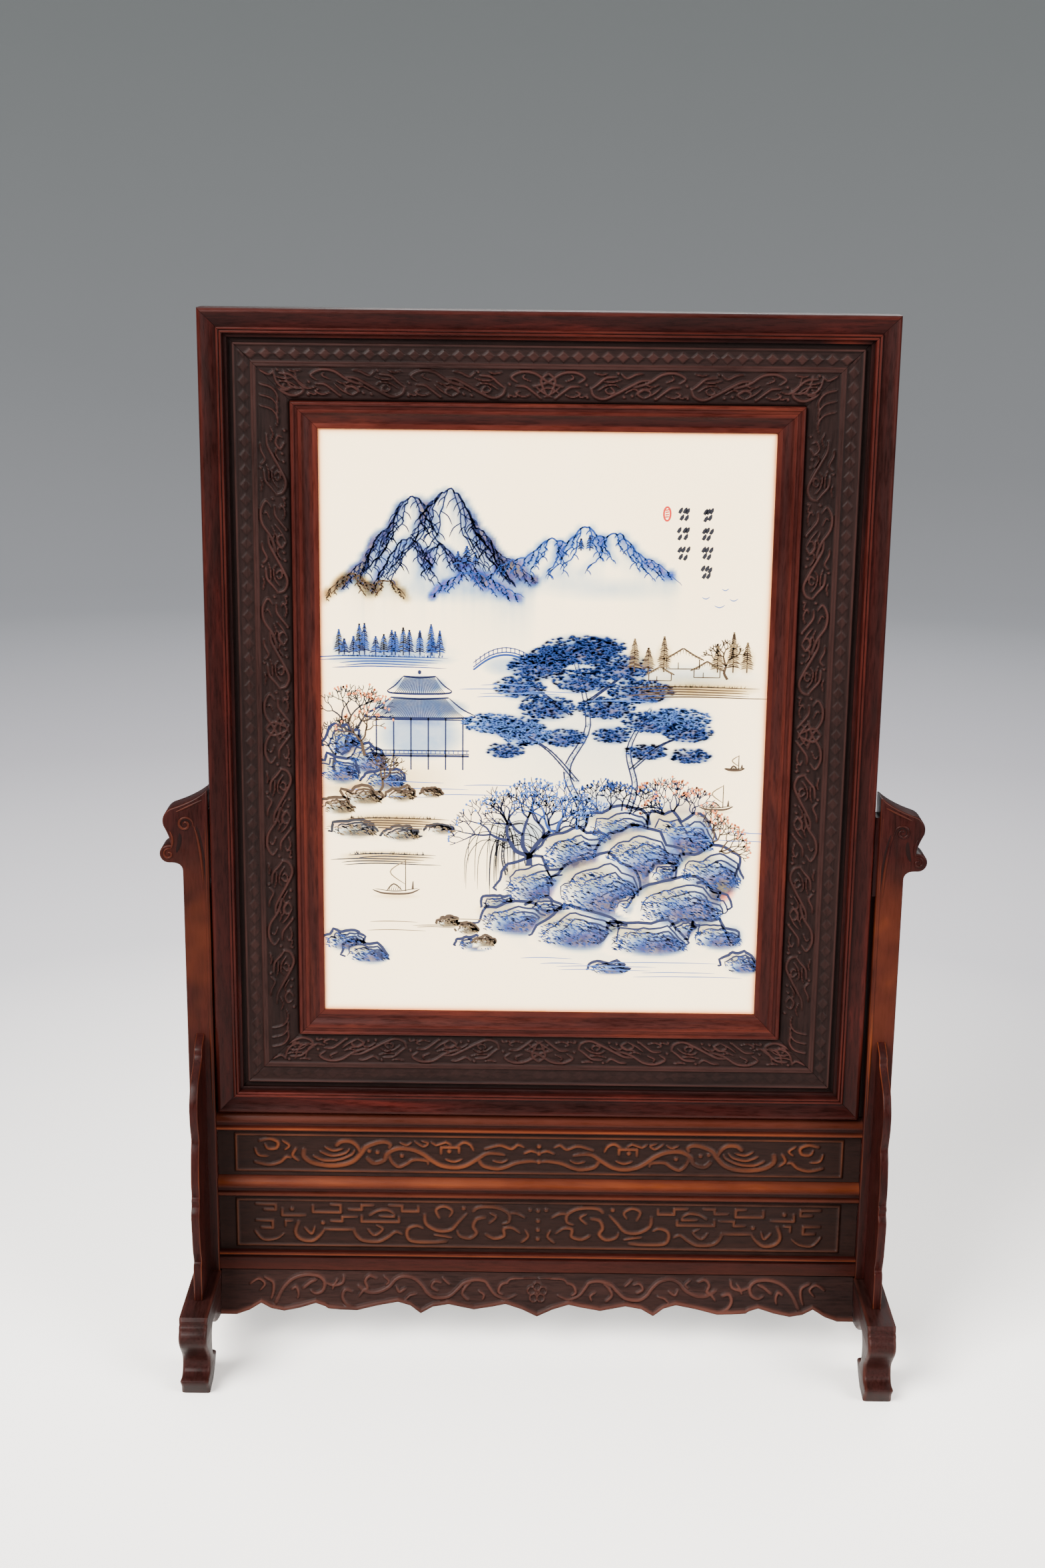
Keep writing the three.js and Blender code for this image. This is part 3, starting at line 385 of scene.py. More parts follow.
class Parts:
    """Gathers several closed forms into the points and faces of one piece."""

    def __init__(self):
        self.verts = []
        self.faces = []
        self.wear = []
        # Painted shade in recesses, one value for each point
        self.recess_shade = []

    def add(self, verts, faces, wear=0.0, recess_shade=0.0):
        start = len(self.verts)
        verts = np.asarray(verts, float)
        self.verts.extend(verts.tolist())
        self.faces.extend([tuple(start + i for i in face) for face in faces])
        self.wear.extend(np.broadcast_to(wear, len(verts)).tolist())
        self.recess_shade.extend(np.broadcast_to(recess_shade, len(verts)).tolist())

    def piece(self, name, material, slot, nodes, sharp=0.6):
        marks = {"wear": self.wear, "recess_shade": self.recess_shade}
        return add_piece(name, self.verts, self.faces, material, nodes, marks, sharp)


def spline(points, steps):
    """Points along a smooth Catmull-Rom curve through the given ones."""
    points = np.asarray(points, float)
    last = len(points) - 1
    result = []
    for i in range(last):
        p0, p1, p2, p3 = (points[min(max(i + k, 0), last)] for k in (-1, 0, 1, 2))
        for t in np.arange(steps) / steps:
            result.append(0.5 * (2 * p1 + (p2 - p0) * t + (2 * p0 - 5 * p1 + 4 * p2 - p3) * t * t
                                 + (3 * p1 - p0 - 3 * p2 + p3) * t ** 3))
    return np.array(result + [points[-1]])


ARRIS_STEPS = 3
ARRIS_LIMIT = 0.45


def rounded_outline(points, radius):
    """Rounds each corner of a closed outline with a small arc."""
    points = np.asarray(points, float)
    result = []
    for i, corner in enumerate(points):
        before = points[i - 1] - corner
        after = points[(i + 1) % len(points)] - corner
        reach = min(radius, ARRIS_LIMIT * np.linalg.norm(before), ARRIS_LIMIT * np.linalg.norm(after))
        start = corner + before / np.linalg.norm(before) * reach
        end = corner + after / np.linalg.norm(after) * reach
        result.append(quadratic(start, corner, end, ARRIS_STEPS + 1))
    return np.concatenate(result)


def ring_faces(rings, count):
    """The faces between closed rings of count points each."""
    faces = []
    for start in range(0, (rings - 1) * count, count):
        for i in range(count):
            j = (i + 1) % count
            faces.append((start + i, start + j, start + count + j, start + count + i))
    return faces


def tube(rings):
    """A closed form from rings of points in space, with a flat face at both ends."""
    rings = np.asarray(rings)
    length, count, _ = rings.shape
    last = (length - 1) * count
    ends = [tuple(range(count))[::-1], tuple(range(last, last + count))]
    return rings.reshape(-1, 3), ring_faces(length, count) + ends


SIDES = {
    "top": (0.0, SCREEN_WIDTH, SCREEN_HEIGHT / 2, "X"),
    "right": (90.0, SCREEN_HEIGHT, SCREEN_WIDTH / 2, "Z"),
    "bottom": (180.0, SCREEN_WIDTH, SCREEN_HEIGHT / 2, "X"),
    "left": (-90.0, SCREEN_HEIGHT, SCREEN_WIDTH / 2, "Z"),
}


def on_side(along, inward, depth, side):
    """Points of a screen member, from its own (along, inward, depth) to the object's frame."""
    turn, _, reach, _ = SIDES[side]
    angle = math.radians(turn)
    out = reach - inward
    x = along * math.cos(angle) + out * math.sin(angle)
    z = -along * math.sin(angle) + out * math.cos(angle)
    return np.stack([x + SCREEN_SHIFT, depth - SCREEN_THICK / 2, z + SCREEN_MIDDLE], axis=-1)


BAR_STEPS = 24


def mitred_bar(section, side):
    """A moulding of the screen with mitred ends."""
    s, depth = section.T
    reach = SIDES[side][1] / 2 - s - MITRE_GAP
    return tube([on_side(share * reach, s, depth, side) for share in np.linspace(-1, 1, BAR_STEPS + 1)])


# Carving

def curl_path(u, v, radius, eye, start, sweep, steps=26):
    share = np.linspace(0, 1, steps)
    angle = start + sweep * share
    r = radius + (eye - radius) * share
    return np.stack([u + r * np.cos(angle), v + r * np.sin(angle)], axis=-1)


def stroke(path, width, rise=CARVING_RISE, thin_start=0.35, thin_end=0.35):
    """A raised line of carving: its path, and half its width and its height at every point."""
    path = np.asarray(path, float)
    share = np.linspace(0, 1, len(path))
    swell = np.sin(math.pi * share) ** 0.5
    end = np.where(share < 0.5, thin_start, thin_end)
    half = width / 2 * (end + (1 - end) * swell)
    return path, half, rise * (0.6 + 0.4 * swell)


def bead(u, v, radius, rise=CARVING_RISE):
    return np.array([(u, v), (u + 0.01, v)]), np.array([radius, radius]), np.array([rise, rise])


def carved_lines(lines, swing, middle, hands=(1, -1), smooth=5, gain=LINE_GAIN):
    """Strokes from (width, points) pairs, where v is a share of the swing, and their mirror images in u."""
    strokes = []
    for width, points in lines:
        path = np.array(points, float) * (1, swing) + (0, middle)
        path = spline(path, smooth) if smooth else bars(path)
        for hand in hands:
            strokes.append(stroke(path * (hand, 1), width * gain, CARVING_RISE, 1.0, 0.5 if smooth else 1.0))
    return strokes


def bars(corners, steps=5):
    """Points along straight lines between corners."""
    path = []
    for first, last in zip(corners[:-1], corners[1:]):
        path.extend(first + (last - first) * share for share in np.arange(steps) / steps)
    path.append(corners[-1])
    return np.array(path)


def relief(u, v, strokes):
    """Height of the carving at every point (u, v)."""
    height = np.zeros_like(u)
    for path, half, rise in strokes:
        pad = half.max()
        low = path.min(axis=0) - pad
        high = path.max(axis=0) + pad
        near = np.nonzero((u > low[0]) & (u < high[0]) & (v > low[1]) & (v < high[1]))
        if not len(near[0]):
            continue
        pu = u[near]
        pv = v[near]
        best = np.zeros_like(pu)
        for i in range(len(path) - 1):
            du, dv = path[i + 1] - path[i]
            share = np.clip(((pu - path[i, 0]) * du + (pv - path[i, 1]) * dv) / (du * du + dv * dv), 0, 1)
            gap = np.hypot(pu - path[i, 0] - share * du, pv - path[i, 1] - share * dv)
            width = half[i] + (half[i + 1] - half[i]) * share
            top = rise[i] + (rise[i + 1] - rise[i]) * share
            best = np.maximum(best, top * np.clip(1 - (gap / width) ** 2, 0, 1) ** CARVING_ROUND)
        height[near] = np.maximum(height[near], best)
    return height


def grid_faces(rows, columns):
    index = np.arange(rows * columns).reshape(rows, columns)
    quads = np.stack([index[:-1, :-1], index[1:, :-1], index[1:, 1:], index[:-1, 1:]], axis=-1)
    return [tuple(q) for q in quads.reshape(-1, 4).tolist()]


def carved_slab(front, back_depth, flip=False):
    """A closed slab from a grid of front points (rows along, columns across) and the y of its flat back."""
    rows, columns, _ = front.shape
    verts = front.reshape(-1, 3)
    faces = grid_faces(rows, columns)
    ring = [(r, 0) for r in range(rows)] + [(rows - 1, c) for c in range(1, columns)]
    ring += [(r, columns - 1) for r in range(rows - 2, -1, -1)] + [(0, c) for c in range(columns - 2, 0, -1)]
    edge = [r * columns + c for r, c in ring]
    back = verts[edge].copy()
    back[:, 1] = back_depth
    start = len(verts)
    count = len(edge)
    for i in range(count):
        j = (i + 1) % count
        faces.append((edge[i], start + i, start + j, edge[j]))
    faces.append(tuple(start + i for i in range(count)))
    if flip:
        faces = [face[::-1] for face in faces]
    return np.concatenate([verts, back]), faces


def extended(values, extra, fill=0.0):
    return np.concatenate([values.ravel(), np.full(extra, fill)])


# The screen

def frame_section():
    bead_start = FRAME_COVE_END
    bead_end = bead_start + FRAME_BEAD
    middle = bead_start + FRAME_BEAD / 2
    quarter = FRAME_BEAD / 4
    points = [(0, SCREEN_THICK - 1), (0, FRAME_ROUND)]
    for angle in np.radians((15, 30, 45, 60, 75)):
        points.append((FRAME_ROUND * (1 - math.cos(angle)), FRAME_ROUND * (1 - math.sin(angle))))
    points.append((FRAME_ROUND, 0))
    for share in np.linspace(0.12, 1, 9):
        depth = FRAME_COVE_DEPTH * math.sin(share * math.pi / 2)
        points.append((FRAME_ROUND + (bead_start - FRAME_ROUND) * share, depth))
    for centre in (bead_start + quarter, bead_end - quarter):
        for angle in np.radians((-80, -50, -20, 0, 20, 50, 80)):
            crest = FRAME_BEAD_DEPTH + 0.9 * (1 - math.cos(angle))
            points.append((centre + quarter * math.sin(angle), crest))
        if centre < middle:
            points.append((middle, FRAME_BEAD_DEPTH + 1.0))
    points += [
        (bead_end + 0.1, FRAME_BEAD_DEPTH + 1.4), (FRAME_FACE - FRAME_FILLET - 0.1, FRAME_FILLET_DEPTH),
        (FRAME_FACE - 0.3, FRAME_FILLET_DEPTH), (FRAME_FACE, FRAME_FILLET_DEPTH + 0.3),
        (FRAME_FACE, FLANGE_DEPTH), (FRAME_WALL, FLANGE_DEPTH), (FRAME_WALL, SCREEN_THICK - 1),
        (FRAME_WALL - 0.3, SCREEN_THICK - 0.3), (FRAME_WALL - 1, SCREEN_THICK), (1, SCREEN_THICK),
        (0.3, SCREEN_THICK - 0.3),
    ]
    return np.array(points)


def swell_at(values, amount, place, spread, power=2):
    """A soft mark: the given amount at a place, and next to nothing beyond its spread."""
    return amount * np.exp(-((values - place) / spread) ** power)


def frame_marks(points):
    """Wear is high on the arris and the beads, and the painted shade is high in the grooves."""
    s, depth = points.T
    wear = swell_at(s, 0.2, 1.2, 1.2) + 0.3 * (depth < FRAME_BEAD_DEPTH + 0.3) * (s > FRAME_COVE_END)
    # Painted shade in the grooves inside the beads
    recess_shade = np.clip((depth - 2.6) / 3, 0, 1) * (s > FRAME_COVE_END)
    return wear * (depth < 5), recess_shade


RUB_DEPTH = 1.3
RUB_MIDDLE = -35.0
RUB_REACH = 110.0
CHIP_DEPTH = 1.6
CHIP_PLACE = 165.0
CHIP_REACH = 8.0


def rub_through(x, s):
    """The top rail's inner fillet is rubbed red for a long stretch, and chipped near the right corner."""
    fillet = swell_at(s, 1, FRAME_FACE - 0.9, 0.9)
    stretch = swell_at(x, 1, RUB_MIDDLE, RUB_REACH, 6)
    chip = swell_at(x, CHIP_DEPTH, CHIP_PLACE, CHIP_REACH, 4)
    return fillet * np.maximum(stretch, chip) * RUB_DEPTH


def make_frames(materials):
    section = frame_section()
    wear, recess_shade = frame_marks(section)
    for side, (_, _, _, axis) in SIDES.items():
        verts, faces = mitred_bar(section, side)
        rings = len(verts) // len(section)
        parts = Parts()
        marks = np.tile(wear, rings)
        if side == "top":
            marks = np.maximum(marks, rub_through(verts[:, 0], np.tile(section[:, 0], rings)))
        parts.add(verts, faces, marks, np.tile(recess_shade, rings))
        wood = materials[f"frame_{axis}"]
        parts.piece(f"frame_rail_{side}", wood, "dark_wood", [f"frame_{side}"], BAR_SHARP)


def border_depth(s):
    """The border board's section without its carving: depth below the screen's front at s."""
    lozenge = BORDER_OUTER + 2 * BORDER_LINE
    ridge = lozenge + LOZENGE_BAND
    half = RIDGE_BAND / 2
    edge = BORDER_GROUND - (BORDER_GROUND - BORDER_EDGE_DEPTH) * np.clip(
        1.6 - np.abs(s - BORDER_OUTER - BORDER_LINE * 0.6) / (BORDER_LINE * 0.6), 0, 1)
    double = np.zeros_like(s)
    for centre in (ridge + half * 0.5, ridge + half * 1.5):
        double = np.maximum(double, np.clip(1 - ((s - centre) / (half * 0.55)) ** 2, 0, 1) ** 0.6)
    depth = np.minimum(edge, BORDER_GROUND - (BORDER_GROUND - BORDER_EDGE_DEPTH) * double)
    slope = np.clip((s - (BORDER_INNER - INNER_MARGIN)) / INNER_MARGIN, 0, 1)
    depth = depth + slope * (SEAT_DEPTH - BORDER_GROUND) / 2
    return np.where((s < BORDER_OUTER - 0.01) | (s > BORDER_INNER + 0.01), SEAT_DEPTH, depth)


# One length of the border's scroll: (width, points), with u along the board from the motif's start and v from
# -1 at the outer edge of the field to 1 at the inner
BORDER_MOTIF = (
    (2.3, ((18, 0.2), (19.5, 0.75), (25, 1.0), (32, 0.6), (40, 0), (46, -0.4), (52, -0.45))),
    (2.0, ((32, -0.7), (26, -0.6), (21.5, -0.1), (18, 0.25))),
    (2.2, ((-14, 0.1), (-6, -0.25), (1.5, -0.9), (9, -1.0), (14.5, -0.6), (11, -0.2))),
    (2.0, ((-2, 1.0), (3, 0.45), (7, 0.1), (12, 0.1))),
    (1.5, ((-8, 0.9), (-3, 0.55), (1, 0.1))),
    (1.5, ((29, 0.1), (31, 0.45), (28, 0.6), (26, 0.35), (27.5, 0.15))),
    (1.8, ((35, -0.9), (38, -0.6), (43, -0.9), (47, -0.95))),
    (1.8, ((47, 0.9), (44, 0.6), (47, 0.25), (51, 0.45), (50, 0.8))),
    (1.5, ((4, 0.75), (8, 0.9), (12, 0.65), (9.5, 0.45))),
    (1.4, ((20, -0.95), (24, -0.85), (27, -0.95))),
    (1.3, ((22, 0.35), (26, 0.0), (31, -0.1), (34, 0.15))),
    (1.3, ((-12, 0.6), (-8, 0.25), (-4, 0.2))),
    (1.3, ((37, 0.55), (41, 0.25), (44, 0.35), (43, 0.7))),
    (1.3, ((4, -0.3), (8, -0.55), (7, -0.8))),
    (1.3, ((25, -0.35), (30, -0.3), (35, -0.5))),
    (1.3, ((16, 0.75), (12, 0.9), (11, 0.5))),
    (1.3, ((48, -0.15), (52, 0.05), (56, -0.15))),
)
BORDER_BEADS = ((41, 0.75), (36.5, 0.85), (15.5, -0.05), (33, -0.95), (54, 0.95), (16, 0.9))
CORNER_LEAVES = ((1.8, -5, -15), (1.5, -11, -20), (1.5, -17, -25))
BORDER_GAIN = 0.88
BORDER_CLEAR = 1.4


def border_strokes(half_length, swing, middle):
    """The scroll that runs both ways from the board's middle, and slanting leaves at the mitres."""
    strokes = []
    for start in np.arange(6, half_length - BORDER_PERIOD / 2, BORDER_PERIOD):
        lines = [(width, [(start + u, -v) for u, v in points]) for width, points in BORDER_MOTIF]
        strokes += carved_lines(lines, swing, middle, gain=BORDER_GAIN)
        for u, v in BORDER_BEADS:
            strokes += [bead(hand * (start + u), middle - v * swing, 1.0) for hand in (1, -1)]
    strokes += carved_lines([(1.6, ((0.3, 0.9), (4, 0.3), (0.3, -0.9)))], swing, middle)
    for width, near, far in CORNER_LEAVES:
        points = (near + 4, 0.9), (near + 2, 0), (near - 3, -0.45), (far, -0.3)
        leaf = [(half_length + u, v) for u, v in points]
        strokes += carved_lines([(width, leaf)], swing, middle, gain=BORDER_GAIN)
    return strokes


LOZENGE_RISE = {"top": 0.9, "left": 0.5, "right": 0.5, "bottom": 0.25}


def lozenges(along, s, rise):
    middle = BORDER_OUTER + 2 * BORDER_LINE + LOZENGE_BAND / 2
    across = np.abs(((along / LOZENGE_PITCH + 0.5) % 1) - 0.5) * 2
    reach = across + np.abs(s - middle) / (LOZENGE_HEIGHT / 2)
    return rise * np.clip((1 - reach) * LOZENGE_SLOPE, 0, 1)


def make_borders(materials):
    start = BORDER_OUTER + 2 * BORDER_LINE + LOZENGE_BAND + RIDGE_BAND
    end = BORDER_INNER - INNER_MARGIN
    middle = -(start + end) / 2
    swing = (end - start) / 2 - BORDER_CLEAR
    fine = np.linspace(BORDER_OUTER, BORDER_INNER, int((BORDER_INNER - BORDER_OUTER) / CARVED_CELL))
    ends = [FRAME_WALL + FIT, BORDER_OUTER - 0.05], [BORDER_INNER + 0.05, BORDER_INNER + MOULDING_SEAT]
    s_steps = np.concatenate([ends[0], fine, ends[1]])
    for side, (_, length, _, axis) in SIDES.items():
        count = int((length - 2 * BORDER_OUTER) / CARVED_CELL)
        share = np.linspace(-1, 1, count)[:, None]
        s = np.broadcast_to(s_steps[None, :], (count, len(s_steps)))
        along = share * (length / 2 - s - MITRE_GAP)
        strokes = border_strokes(length / 2 + middle, swing, middle)
        carved = relief(along, -s, strokes)
        rows = lozenges(along, s, LOZENGE_RISE[side])
        base = border_depth(s)
        front = on_side(along, s, base - np.maximum(carved, rows), side)
        verts, faces = carved_slab(front, BOARD_BACK - SCREEN_THICK / 2)
        extra = len(verts) - front.shape[0] * front.shape[1]
        high = np.clip((BORDER_GROUND - base + np.maximum(carved, rows)) / CARVING_RISE, 0, 1)
        inside = (s > BORDER_OUTER) & (s < BORDER_INNER)
        # Painted shade on the carving's ground, fading where the carving rises, and in the gaps at the
        # field's edges
        recess_shade = np.where(inside, 0.45 * np.clip(1 - high * SHADE_FADE, 0, 1), 0.6)
        parts = Parts()
        parts.add(verts, faces, extended(high ** 2, extra), extended(recess_shade, extra, 1.0))
        wood = materials[f"border_{axis}"]
        parts.piece(f"border_board_{side}", wood, "carved_wood", [f"border_{side}"], CARVED_SHARP)


def moulding_section():
    """From the outer edge inward: bead, channel, fillet, cove and flat lip."""
    points = [(MOULDING_OUTER, FLANGE_DEPTH), (MOULDING_OUTER, 3.3)]
    for angle in np.radians((-80, -50, -20, 10, 40, 70)):
        points.append((52.0 + 1.1 * math.sin(angle), 2.2 + 0.9 * (1 - math.cos(angle))))
    points += [(53.3, 3.2), (54.9, 3.2), (55.2, 2.7), (55.5, 2.6), (56.7, 2.6), (57.1, 2.75)]
    for share in np.linspace(0, 1, 9):
        points.append((57.4 + 5.4 * share, 3.1 + 2.4 * math.sin(share * math.pi / 2) ** 0.8))
    points += [(63.1, 5.4), (65.6, 5.4), (SIGHT_EDGE, 5.7), (SIGHT_EDGE, FLANGE_DEPTH)]
    return np.array(points)


def make_mouldings(materials):
    section = moulding_section()
    s, depth = section[:, 0], section[:, 1]
    wear = swell_at(s, 0.28, 55.9, 1.0) + 0.3 * (s > 62.8) + swell_at(s, 0.22, 52.0, 0.9)
    # Painted shade in the channel and the cove
    recess_shade = swell_at(s, 0.8, 54.0, 0.7) + swell_at(s, 0.25, 60.8, 1.5)
    for side, (_, _, _, axis) in SIDES.items():
        verts, faces = mitred_bar(section, side)
        rings = len(verts) // len(section)
        parts = Parts()
        parts.add(verts, faces, np.tile(wear * (depth < 6), rings), np.tile(recess_shade, rings))
        wood = materials[f"red_{axis}"]
        parts.piece(f"inner_moulding_{side}", wood, "red_wood", [f"moulding_{side}"], BAR_SHARP)


BOX_END_STEP = 0.3


def box_verts(x0, x1, y0, y1, z0, z1, bevel):
    """A box with small rounded arrises along its length."""
    section = rounded_outline([(y0, z0), (y1, z0), (y1, z1), (y0, z1)], bevel)
    middle = section.mean(axis=0)
    half = np.ptp(section, axis=0) / 2
    step = bevel * BOX_END_STEP
    rings = []
    for x, inset in ((x0, bevel), (x0 + step, step), (x0 + bevel, 0),
                     (x1 - bevel, 0), (x1 - step, step), (x1, bevel)):
        shrunk = middle + (section - middle) * (half - inset) / half
        rings.append(np.column_stack([np.full(len(section), x), shrunk]))
    return tube(rings)


def make_back_board(materials):
    low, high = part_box("back_board")
    parts = Parts()
    parts.add(*box_verts(low.x / MM, high.x / MM, low.y / MM, high.y / MM, low.z / MM, high.z / MM, 0.5))
    parts.piece("back_panel", materials["back"], "dark_wood", ["back_board"])


# The stand

REACH_ROUNDS = 14
EDGE_KEPT = 0.3
REACH_CUT = 0.6
SMOOTH_ROUNDS = 8
REACH_SLOPE = 0.4


def safe_reach(outline, inward, bevel):
    """How far each point of an outline can move inward, up to the bevel, and no edge turns over."""
    reach = np.full(len(outline), float(bevel))
    edge = np.roll(outline, -1, axis=0) - outline
    length = np.linalg.norm(edge, axis=1)
    for _ in range(REACH_ROUNDS):
        moved = outline + inward * reach[:, None]
        along = np.sum((np.roll(moved, -1, axis=0) - moved) * edge, axis=1)
        kept = along > EDGE_KEPT * length ** 2
        reach[~(kept & np.roll(kept, 1))] *= REACH_CUT
        for _ in range(SMOOTH_ROUNDS):
            reach = np.minimum(reach, np.roll(reach, 1) + REACH_SLOPE * np.roll(length, 1))
            reach = np.minimum(reach, np.roll(reach, -1) + REACH_SLOPE * length)
    return reach


def flat_cap(ring, start, backward):
    """Triangles that fill a flat closed outline whose points begin at an index."""
    corners = [Vector((a, b, 0)) for a, b in ring]
    step = -1 if backward else 1
    return [tuple(start + i for i in corner[::step]) for corner in tessellate_polygon([corners])]


ARRIS_WEAR = 0.8


def plate(outline, depth0, depth1, bevel, to_space, steps=3):
    """A flat plate from a closed outline, with its arrises rounded by moving the outline inward."""
    outline = np.asarray(outline, float)
    after = np.roll(outline, -1, axis=0) - outline
    before = outline - np.roll(outline, 1, axis=0)
    after /= np.linalg.norm(after, axis=1)[:, None]
    before /= np.linalg.norm(before, axis=1)[:, None]
    tangent = after + before
    tangent /= np.maximum(np.linalg.norm(tangent, axis=1), 1e-6)[:, None]
    area = np.sum(outline[:, 0] * np.roll(outline[:, 1], -1) - outline[:, 1] * np.roll(outline[:, 0], -1))
    inward = np.column_stack([-tangent[:, 1], tangent[:, 0]]) * (1 if area > 0 else -1)
    reach = safe_reach(outline, inward, bevel)[:, None]
    rings = []
    for first, last, depth, hand in ((0, math.pi / 2, depth0, 1), (math.pi / 2, 0, depth1, -1)):
        for angle in np.linspace(first, last, steps + 1):
            inset = reach * (1 - math.sin(angle))
            rings.append((outline + inward * inset, depth + hand * bevel * (1 - math.cos(angle))))
    count = len(outline)
    verts = np.concatenate([to_space(points, depth) for points, depth in rings])
    faces = ring_faces(len(rings), count)
    faces += flat_cap(rings[0][0], 0, True)
    faces += flat_cap(rings[-1][0], (len(rings) - 1) * count, False)
    worn = ARRIS_WEAR * np.sin(np.linspace(0, math.pi, steps + 1))
    return verts, faces, np.repeat(np.tile(worn, 2), count)


def front_space(points, depth):
    """Outline (x, z) at a depth y."""
    return np.column_stack([points[:, 0], np.full(len(points), depth), points[:, 1]])


def side_space(points, depth):
    """Outline (y, z) at a place x."""
    return np.column_stack([np.full(len(points), depth), points[:, 0], points[:, 1]])


def arc(x, z, radius, start, end, steps):
    angle = np.linspace(start, end, steps)
    return np.stack([x + radius * np.cos(angle), z + radius * np.sin(angle)], axis=-1)


def quadratic(first, control, last, steps=8):
    t = np.linspace(0, 1, steps)[:, None]
    return (1 - t) ** 2 * np.array(first) + 2 * t * (1 - t) * np.array(control) + t ** 2 * np.array(last)


def without_repeats(points, least=0.05):
    kept = [points[0]]
    for point in points[1:]:
        if np.linalg.norm(point - kept[-1]) > least:
            kept.append(point)
    if np.linalg.norm(kept[0] - kept[-1]) < least:
        kept.pop()
    return np.array(kept)


def post_outline():
    outer = POST_INNER + POST_WIDTH
    foot = FOOT_HEIGHT + FIT
    top = foot + POST_HEIGHT
    upper = (outer + 2.4, top - 19.0, 8.8)
    lower = (outer + 8.0, top - 38.8, 5.45)
    neck = lower[1] - lower[2]
    upper_arc = arc(*upper, -math.pi * 0.1, math.pi * 0.36, 10)
    lower_arc = arc(*lower, -math.pi / 2, math.pi * 0.58, 14)
    pieces = [
        [(POST_INNER, foot)], [(outer, foot + rise) for rise in range(0, 250, 15)],
        quadratic((outer, neck - lower[2]), (outer, neck), (lower[0] - 1.6, neck)),
        lower_arc,
        quadratic(lower_arc[-1], (outer + 7.0, upper[1] - upper[2] * 1.1), upper_arc[0]),
        upper_arc,
        quadratic(upper_arc[-1], ((POST_INNER + outer) / 2, top - 19.0 / 3), (POST_INNER + 0.8, top)),
        [(POST_INNER, top)], [(POST_INNER, foot + rise) for rise in range(285, 0, -15)],
    ]
    return without_repeats(np.concatenate([np.asarray(p, float) for p in pieces]))


def ridge_solid(path, width, rise, to_space, sink=0.3):
    """A rounded raised line on a flat face, as a closed form that dips into the face.
    to_space turns outline points and a height above the face into points in space."""
    path = np.asarray(path, float)
    along = np.gradient(path, axis=0)
    along /= np.linalg.norm(along, axis=1)[:, None]
    across = np.column_stack([-along[:, 1], along[:, 0]])
    share = np.linspace(0, 1, len(path))
    swell = np.clip(np.sin(math.pi * share) ** 0.4, 0.25, 1)
    rings = []
    for angle in np.radians((0, 30, 60, 90, 120, 150, 180)):
        offset = across * (width / 2 * math.cos(angle) * swell)[:, None]
        height = rise * math.sin(angle) * swell - sink * (math.sin(angle) < 0.01)
        rings.append(to_space(path + offset, height))
    return tube(np.stack(rings, axis=1))


def on_post(end):
    """How outline points and heights turn into points over the post's front (-1) or back (1)."""
    def to_space(points, height):
        return np.column_stack([points[:, 0], end * (POST_DEPTH / 2 + height), points[:, 1]])

    return to_space


def mirrored(verts, faces, hand):
    if hand > 0:
        return verts, faces
    flipped = np.array(verts)
    flipped[:, 0] *= -1
    return flipped, [face[::-1] for face in faces]


RUBBED_MIDDLE = 262.0
RUBBED_REACH = 52.0
RUBBED_SHARE = 0.68
TONGUE_TOP = 299.8
STRIP_GAP = 0.6
STRIP_HALF = 6.5
TONGUE_REACH = 5.5
TONGUE_HALF = 3.5
RIDGE_WEAR = 0.6
# Height of the thin strips that carry the painted shade of the post's grooves
GROOVE_SHADE_RISE = 0.3
POST_ARRIS = 0.9


